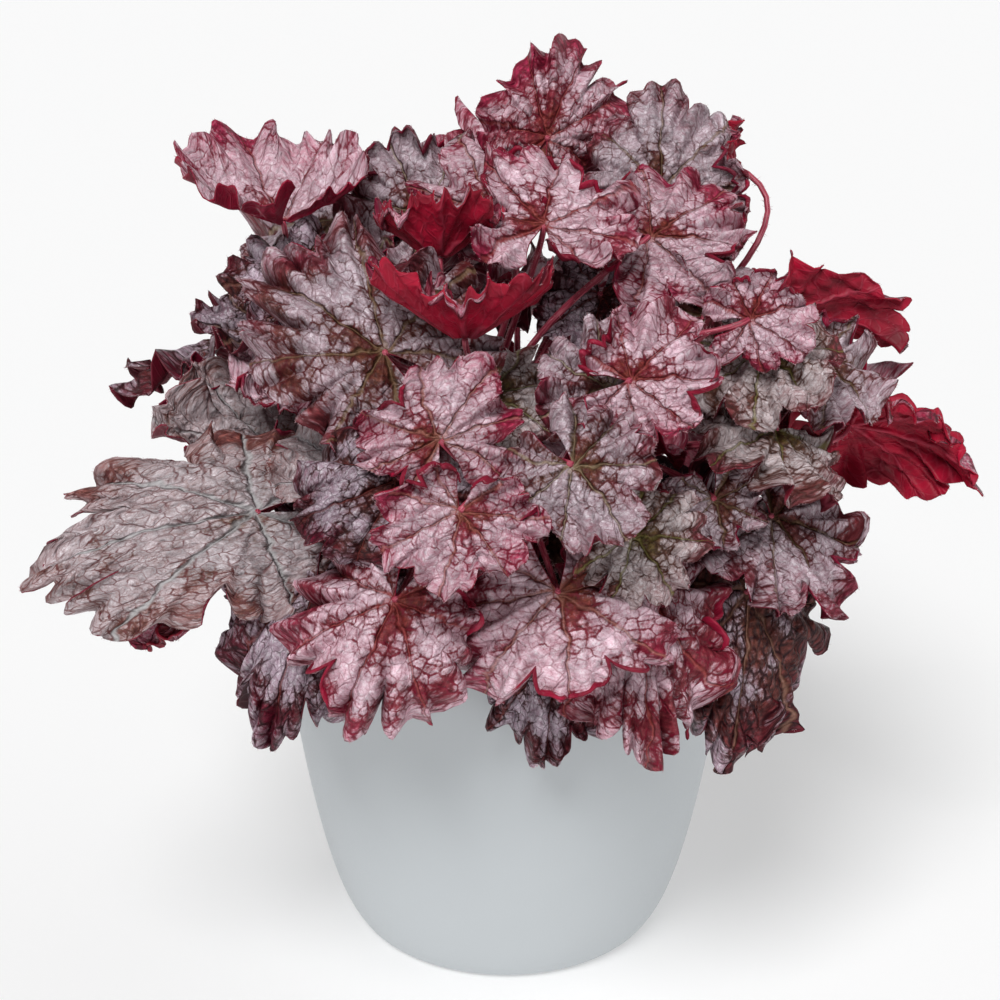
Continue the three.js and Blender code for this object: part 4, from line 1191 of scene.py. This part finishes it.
def add_leaf_maps(mesh, blade, groups, blade_flat, stalk_flat, hair_points):
    """The flat map in mm that the skins are drawn on, and the map named OFBake."""
    drawn = blade_flat * (NET_LEAF_LENGTH / blade.length) ** 0.45
    on_hairs = np.zeros((hair_points, 2))
    corner_uv(mesh, "flat", np.vstack([[0, 0], drawn, [0, 0], drawn, stalk_flat, on_hairs]))

    island = np.vstack([[0, 0], blade_flat]) / (MAP_BLADE_LENGTHS * blade.length) + MAP_HUB
    stretch = (MAP_WIDTH / stalk_flat[:, 0].max(), MAP_PETIOLE_HEIGHT / (2 * math.pi * PETIOLE_RADIUS))
    stalk = stalk_flat * stretch + (MAP_LEFT, MAP_PETIOLE_LOW)
    corner = np.arange(hair_points)
    column, row = corner // 4 % MAP_HAIR_COLUMNS, corner // (4 * MAP_HAIR_COLUMNS)
    hair = np.stack([
        MAP_LEFT + MAP_WIDTH * column / MAP_HAIR_COLUMNS + 0.004 * (corner % 4),
        np.minimum(MAP_HAIRS_LOW + 0.02 * row, MAP_HAIRS_HIGH) + 0.003 * (corner % 2),
    ], axis=-1)
    corner_uv(mesh, "OFBake", np.vstack([island, island + MAP_TO_UNDERSIDE, stalk, hair]))

    # the rim's walls share their points with the faces, so their corners get a strip of their own
    before, count = sum(len(face) for group in groups[:2] for face in group), len(groups[2])
    step = MAP_WIDTH / count
    left = MAP_LEFT + np.arange(count) * step
    layer = mesh.uv_layers["OFBake"].data
    whole = np.empty((len(layer), 2), dtype=np.float32)
    layer.foreach_get("uv", whole.ravel())
    strip = whole[before : before + 4 * count].reshape(count, 4, 2)
    strip[..., 0] = np.transpose([left, left, left + step, left + step])
    strip[..., 1] = (MAP_RIM_LOW, MAP_RIM_HIGH, MAP_RIM_HIGH, MAP_RIM_LOW)
    layer.foreach_set("uv", whole.ravel())


class HEUCHERA_OT_leaves(bpy.types.Operator):
    """Grow the fine leaves in place of their solids"""

    bl_idname = "heuchera.leaves"
    bl_label = "Leaves"

    def execute(self, context):
        leaf, colours = settings("leaf"), settings("colours")
        materials = [upper_skin(), lower_skin(), stalk_skin(colours.petiole), hair_skin(colours.hair)]
        for blade in place_leaves():
            grow_leaf(blade, leaf, colours, materials)
        return {"FINISHED"}


# ---- Pots, soil and crown -----------------------------------------------------------------------

# Sizes in mm.
POT_FLARE = 33.4  # how much less the cover pot's foot measures in radius than its rim
POT_FLARE_POWER = 1.25
POT_ROUND_POWER = 1.93
POT_WALL = 3.5
POT_FLOOR = 5
NURSERY_WALL = 1.6
NURSERY_LIP_BOTTOM = 165
NURSERY_BASE_RADIUS = 54
NURSERY_TOP_RADIUS = 80
NURSERY_BELTS = (60, 120)  # heights of the rings of points between foot and lip
DRAIN_COUNT = 6
DRAIN_RADIUS = 5
DRAIN_CIRCLE = 36
LATHE_SIDES = 192  # a multiple of the drain holes
SOIL_SIDES, SOIL_RINGS = 120, 16
SOIL_EDGE_HEIGHT = 157
SOIL_ROUGHNESS = 1.3
SOIL_GAPS = (0.2, 0.3, 0.5)  # to the nursery pot's wall, the crown and the wall's foot
SOIL_SEED = 77
CRUMB_SIZES = (0.5, 1.6)
CRUMB_SINK = 0.4


def turned(profile):
    """Points and faces of a shell turned from a profile in mm."""
    return lathe([(radius * MM, z * MM) for radius, z in profile], LATHE_SIDES)


def cover_pot_profile(roundness, foot):
    """From the middle underneath over the rounded foot and rim to the middle of the floor."""
    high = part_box("cover_pot")[1]
    height, rim = high.z / MM, high.x / MM

    def outside(z, wall=0):
        """The wall flares up from the foot and turns upright near the rim."""
        rise = (1 - (1 - z / height) ** POT_FLARE_POWER) ** (1 / POT_ROUND_POWER)
        return (rim - POT_FLARE + POT_FLARE * rise - wall, z)

    outer = [outside(z) for z in between(foot, height, np.linspace(0, 1, 40) ** 1.6)]
    outer = [(radius, z) for radius, z in outer if z < height - roundness]
    inner = [outside(z, POT_WALL) for z in np.linspace(height, POT_FLOOR, 24)]
    rim_out, rim_in = (rim, height), (rim - POT_WALL, height)
    return [
        (0, 0), *round_corner((0, 0), (outside(0.4 * foot)[0], 0), outer[0], foot), *outer[1:],
        *round_corner(outer[-1], rim_out, rim_in, roundness),
        *round_corner(rim_out, rim_in, inner[1], roundness), *inner[2:], (0, POT_FLOOR),
    ]


def white_plastic(tone):
    """Polypropylene, injection moulded with a matt texture. It gives the eye an even cool white with a
    broad, soft sheen and the faint unevenness of the mould's grain."""
    material, add = new_material("matt white moulded plastic")
    place = add("TexCoord", output="Object")
    clouds = add("TexNoise", {"Vector": place, "Scale": 14, "Detail": 3}, "Fac")
    grain = add("TexNoise", {"Vector": place, "Scale": 1 / (0.8 * MM), "Detail": 2}, "Fac")
    plain_shader(add, {
        "Base Color": add("ValToRGB", [clouds], stops=[(0.3, scaled(tone, 0.96)), (0.7, tone)]),
        "Roughness": eased(add, (grain, 0.3, 0.7, 0.46, 0.6)), "IOR": 1.49,
        "Normal": add("Bump", {"Strength": 0.25, "Distance": 0.00006, "Height": grain}),
    })
    return material


def black_plastic(tone):
    """Recycled polypropylene, thin and injection moulded. It gives the eye a near black with a dull gloss
    and a few dusty scuffs."""
    material, add = new_material("black nursery pot plastic")
    place = add("TexCoord", output="Object")
    dust = add("TexNoise", {"Vector": place, "Scale": 60, "Detail": 5, "Roughness": 0.7}, "Fac")
    plain_shader(add, {
        "Base Color": add("ValToRGB", [dust], stops=[(0.5, tone), (0.8, scaled(tone, 1.5, 0.02))]),
        "Roughness": eased(add, (dust, 0.4, 0.7, 0.33, 0.6)), "IOR": 1.49,
    })
    return material


class HEUCHERA_OT_cover_pot(bpy.types.Operator):
    """Turn the white cover pot with its rounded rim and foot"""

    bl_idname = "heuchera.cover_pot"
    bl_label = "Cover pot"

    def execute(self, context):
        pots = settings("pots")
        profile = cover_pot_profile(pots.rim_roundness / MM, pots.foot_roundness / MM)
        material = white_plastic(settings("colours").cover_pot)
        piece = mesh_object("white_cover_pot", *turned(profile), [material])
        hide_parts("cover_pot")
        return {"FINISHED"}


def nursery_pot_profile():
    """From the middle underneath round the lip to the middle of the floor."""
    low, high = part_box("nursery_pot")
    bottom, top, lip = low.z / MM, high.z / MM, high.x / MM
    flare = (NURSERY_TOP_RADIUS - NURSERY_BASE_RADIUS) / (top - POT_FLOOR)
    floor, under_lip = bottom + NURSERY_WALL, NURSERY_LIP_BOTTOM
    drain_inner, drain_outer = DRAIN_CIRCLE - DRAIN_RADIUS, DRAIN_CIRCLE + DRAIN_RADIUS

    def outside(z):
        return NURSERY_BASE_RADIUS + flare * (z - POT_FLOOR)

    def inside(z):
        return outside(z) - NURSERY_WALL

    return [
        (0, bottom), (drain_inner, bottom), (drain_outer, bottom), (outside(bottom) - 1, bottom),
        (outside(bottom), bottom + 1), *((outside(z), z) for z in (*NURSERY_BELTS, under_lip)),
        (lip - 0.6, under_lip), (lip, under_lip + 0.6), (lip, top - 1.2), (lip - 0.4, top - 0.4),
        (lip - 1.2, top), (inside(top) + 0.6, top), (inside(top), top - 0.6),
        *((inside(z), z) for z in (*reversed(NURSERY_BELTS), floor)),
        (drain_outer, floor), (drain_inner, floor), (0, floor),
    ]


def drained(points, faces, rings):
    """Opens round drain holes between the two rings on each side of the turned pot's floor."""
    under_in, under_out, over_out, over_in = (
        1 + (ring - 1) * LATHE_SIDES for ring in (1, 2, rings - 3, rings - 2)
    )
    pitch = LATHE_SIDES // DRAIN_COUNT
    for k in range(LATHE_SIDES):
        turn = ((k + pitch / 2) % pitch - pitch / 2) / LATHE_SIDES
        off = DRAIN_CIRCLE * math.sin(2 * math.pi * turn)
        width = math.sqrt(max(DRAIN_RADIUS**2 - off**2, 1))
        for first, radius in (
            (under_in, DRAIN_CIRCLE - width), (over_in, DRAIN_CIRCLE - width),
            (under_out, DRAIN_CIRCLE + width), (over_out, DRAIN_CIRCLE + width),
        ):
            points[first + k] = on_circle(radius * MM, points[first + k][2], k / LATHE_SIDES)
    half = int(LATHE_SIDES * math.asin(DRAIN_RADIUS / DRAIN_CIRCLE) / (2 * math.pi))
    cut, walls = set(), []
    for hole in range(DRAIN_COUNT):
        columns = [(hole * pitch + step) % LATHE_SIDES for step in range(-half, half + 1)]
        for k, j in zip(columns, columns[1:]):
            cut |= {LATHE_SIDES + k, (rings - 3) * LATHE_SIDES + k}
            walls.append((under_in + k, under_in + j, over_in + j, over_in + k))
            walls.append((under_out + j, under_out + k, over_out + k, over_out + j))
        start, end = columns[0], columns[-1]
        walls.append((under_out + start, under_in + start, over_in + start, over_out + start))
        walls.append((under_in + end, under_out + end, over_out + end, over_in + end))
    return points, [f for n, f in enumerate(faces) if n not in cut] + walls


class HEUCHERA_OT_nursery_pot(bpy.types.Operator):
    """Turn the black nursery pot that the plant grew in"""

    bl_idname = "heuchera.nursery_pot"
    bl_label = "Nursery pot"

    def execute(self, context):
        profile = nursery_pot_profile()
        points, faces = drained(*turned(profile), len(profile))
        material = black_plastic(settings("colours").nursery_pot)
        piece = mesh_object("black_nursery_pot", points, faces, [material])
        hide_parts("nursery_pot")
        return {"FINISHED"}


def moist_peat(tone):
    """Potting soil: moist peat with bark bits. It gives the eye a dark brown with small paler fibres."""
    material, add = new_material("moist peat")
    place = add("TexCoord", output="Object")
    bits = add("TexNoise", {"Vector": place, "Scale": 1 / (3 * MM), "Detail": 4, "Roughness": 0.7}, "Fac")
    stops = [(0.35, scaled(tone, 0.4)), (0.55, tone), (0.78, scaled(tone, 3.2))]
    plain_shader(add, {
        "Base Color": add("ValToRGB", [bits], stops=stops), "Roughness": 0.85, "IOR": 1.45,
        "Normal": add("Bump", {"Strength": 1, "Distance": 0.001, "Height": bits}),
    })
    return material


def bark(tone):
    """Old rootstock: corky bark with leaf scars. It gives the eye rough brown scales."""
    material, add = new_material("corky rootstock bark")
    place = add("TexCoord", output="Object")
    scales = add("TexVoronoi", {"Vector": place, "Scale": 1 / (5 * MM)}, "Distance")
    fibres = add("TexNoise", {"Vector": place, "Scale": 1 / (2 * MM), "Detail": 4}, "Fac")
    height = add("Math", [scales, fibres], **PLUS)
    stops = [(0.45, scaled(tone, 0.35)), (0.8, tone), (1, scaled(tone, 1.8))]
    plain_shader(add, {
        "Base Color": add("ValToRGB", [height], stops=stops), "Roughness": 0.8, "IOR": 1.45,
        "Normal": add("Bump", {"Strength": 1, "Distance": 0.0015, "Height": height}),
    })
    return material


CRUMB_FACES = [(0, 1, 4), (1, 2, 4), (2, 3, 4), (3, 0, 4), (1, 0, 5), (2, 1, 5), (3, 2, 5), (0, 3, 5)]


def crumb(rng, size):
    """A rough eight-sided lump."""
    corners = np.array([(1, 0, 0), (0, 1, 0), (-1, 0, 0), (0, -1, 0), (0, 0, 1), (0, 0, -1)], dtype=float)
    corners *= size * rng.uniform(0.6, 1.3, (6, 1)) * np.array([rng.uniform(0.6, 1.6), 1, 0.7])
    angle = rng.uniform(0, 2 * math.pi)
    c, s = math.cos(angle), math.sin(angle)
    return corners @ np.array([[c, -s, 0], [s, c, 0], [0, 0, 1]]).T


class HEUCHERA_OT_soil(bpy.types.Operator):
    """Fill the nursery pot with crumbly peat"""

    bl_idname = "heuchera.soil"
    bl_label = "Soil"

    def execute(self, context):
        material = moist_peat(settings("colours").soil)
        low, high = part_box("potting_soil")
        bottom, middle = low.z / MM, high.z / MM
        edge, crown = high.x / MM - SOIL_GAPS[0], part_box("crown")[1].x / MM + SOIL_GAPS[1]
        foot = NURSERY_BASE_RADIUS - NURSERY_WALL - SOIL_GAPS[2]
        rng = np.random.RandomState(SOIL_SEED)

        def level(radius):
            """The soil rises from the pot's wall to the crown."""
            return between(SOIL_EDGE_HEIGHT, middle, (edge - radius) / (edge - crown))

        points = []
        for ring, radius in enumerate(np.linspace(edge, crown, SOIL_RINGS)):
            rough = SOIL_ROUGHNESS if 0 < ring < SOIL_RINGS - 1 else 0
            for k in range(SOIL_SIDES):
                points.append(on_circle(radius, level(radius) - rough * rng.uniform(0, 1), k / SOIL_SIDES))
        for radius in (foot, crown):
            points += [on_circle(radius, bottom, k / SOIL_SIDES) for k in range(SOIL_SIDES)]
        top, under_edge, under_crown = SOIL_RINGS - 1, SOIL_RINGS, SOIL_RINGS + 1
        pairs = [(n, n + 1) for n in range(top)]
        pairs += [(under_edge, 0), (under_crown, under_edge), (top, under_crown)]
        faces = [f for a, b in pairs for f in band(a * SOIL_SIDES, b * SOIL_SIDES, SOIL_SIDES)]
        for _ in range(settings("pots").crumbs):
            radius = math.sqrt(rng.uniform(crown**2 + 60, (edge - 2) ** 2))
            centre = on_circle(radius, level(radius) - CRUMB_SINK, rng.uniform(0, 1))
            faces += shifted(CRUMB_FACES, len(points))
            points += [tuple(p + centre) for p in crumb(rng, rng.uniform(*CRUMB_SIZES))]
        piece = mesh_object("crumbly_soil", np.array(points) * MM, faces, [material], smooth=False)
        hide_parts("potting_soil")
        return {"FINISHED"}


class HEUCHERA_OT_crown(bpy.types.Operator):
    """Cover the woody crown in bark"""

    bl_idname = "heuchera.crown"
    bl_label = "Crown"

    def execute(self, context):
        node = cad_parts["crown"]
        node.data.materials.clear()
        node.data.materials.append(bark(settings("colours").rootstock))
        return {"FINISHED"}


# ---- Studio -------------------------------------------------------------------------------------

CAMERA_PLACE = (-0.0023, -0.8272, 0.53)
CAMERA_TILT = 66.8  # degrees from straight down
CAMERA_LENS, CAMERA_SENSOR = 85, 36  # mm
LAMPS = (("key", (-0.35, -1.0, 1.7), 28), ("fill", (1.2, 0.4, 1.5), 70))  # places in m, softness in degrees
LAMP_AIM = (0, 0, 0.2)
FLOOR_RADIUS = 9.0  # m
ROOM_WHITE = "#fdfeff"


class HEUCHERA_OT_studio(bpy.types.Operator):
    """Set up the pale floor, the soft lamps and the camera"""

    bl_idname = "heuchera.studio"
    bl_label = "Studio"

    def execute(self, context):
        studio = settings("studio")
        scene = context.scene
        world = bpy.data.worlds.new("white studio room")
        world.use_nodes = True
        world.node_tree.nodes.clear()
        add = partial(add_node, world.node_tree)
        height = add("SeparateXYZ", [add("TexCoord", output="Generated")], "Z")
        light = eased(add, (height, 0.1, 0.4, studio.horizon, studio.sky))
        add("OutputWorld", [add("Background", {"Color": linear(ROOM_WHITE), "Strength": light})])
        scene.world = world
        scene.view_settings.view_transform = "Standard"

        points, faces = lathe([(0, 0), (1, 0), (FLOOR_RADIUS, 0)], 96)
        mesh = bpy.data.meshes.new("studio_floor")
        mesh.from_pydata(points, [], [f[::-1] for f in faces])
        floor = bpy.data.objects.new("studio_floor", mesh)
        scene.collection.objects.link(floor)
        material, add = new_material("pale translucent table top")
        plain_shader(add, {
            "Base Color": studio.floor, "Roughness": 0.9, "IOR": 1.45,
            "Emission Color": (1, 1, 1), "Emission Strength": studio.glow,
        })
        mesh.materials.append(material)

        for name, place, softness in LAMPS:
            data = bpy.data.lights.new(name + "_light", "SUN")
            data.angle = math.radians(softness)
            data.energy = getattr(studio, name)
            lamp = bpy.data.objects.new(name + "_light", data)
            lamp.location = place
            aim = Vector(LAMP_AIM) - Vector(place)
            lamp.rotation_euler = aim.to_track_quat("-Z", "Y").to_euler()
            scene.collection.objects.link(lamp)

        data = bpy.data.cameras.new("camera")
        data.lens, data.sensor_width = CAMERA_LENS, CAMERA_SENSOR
        data.clip_start = 0.05
        camera = bpy.data.objects.new("camera", data)
        camera.location = CAMERA_PLACE
        camera.rotation_euler = (math.radians(CAMERA_TILT), 0, 0)
        scene.collection.objects.link(camera)
        scene.camera = camera
        return {"FINISHED"}


class HEUCHERA_PT_panel(bpy.types.Panel):
    bl_idname = "HEUCHERA_PT_panel"
    bl_label = "Heuchera"
    bl_space_type = "VIEW_3D"
    bl_region_type = "UI"
    bl_category = "Heuchera"

    def draw(self, context):
        for operator in OPERATORS:
            self.layout.operator(operator.bl_idname)
        for group in SETTINGS:
            box = self.layout.box()
            box.label(text=group.capitalize())
            for name in SETTINGS[group].__annotations__:
                box.prop(settings(group), name)


OPERATORS = (
    HEUCHERA_OT_studio,
    HEUCHERA_OT_cover_pot,
    HEUCHERA_OT_nursery_pot,
    HEUCHERA_OT_soil,
    HEUCHERA_OT_crown,
    HEUCHERA_OT_leaves,
)
SETTINGS = {"leaf": LeafSettings, "colours": PlantColours, "pots": PotSettings, "studio": StudioSettings}


def register():
    for cls in (*SETTINGS.values(), *OPERATORS, HEUCHERA_PT_panel):
        bpy.utils.register_class(cls)
    for name, cls in SETTINGS.items():
        setattr(bpy.types.Scene, "heuchera_" + name, PointerProperty(type=cls))


def unregister():
    for name in SETTINGS:
        delattr(bpy.types.Scene, "heuchera_" + name)
    for cls in reversed((*SETTINGS.values(), *OPERATORS, HEUCHERA_PT_panel)):
        bpy.utils.unregister_class(cls)


def main():
    register()
    for operator in OPERATORS:
        family, name = operator.bl_idname.split(".")
        getattr(getattr(bpy.ops, family), name)()
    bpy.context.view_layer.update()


if __name__ == "__main__":
    main()
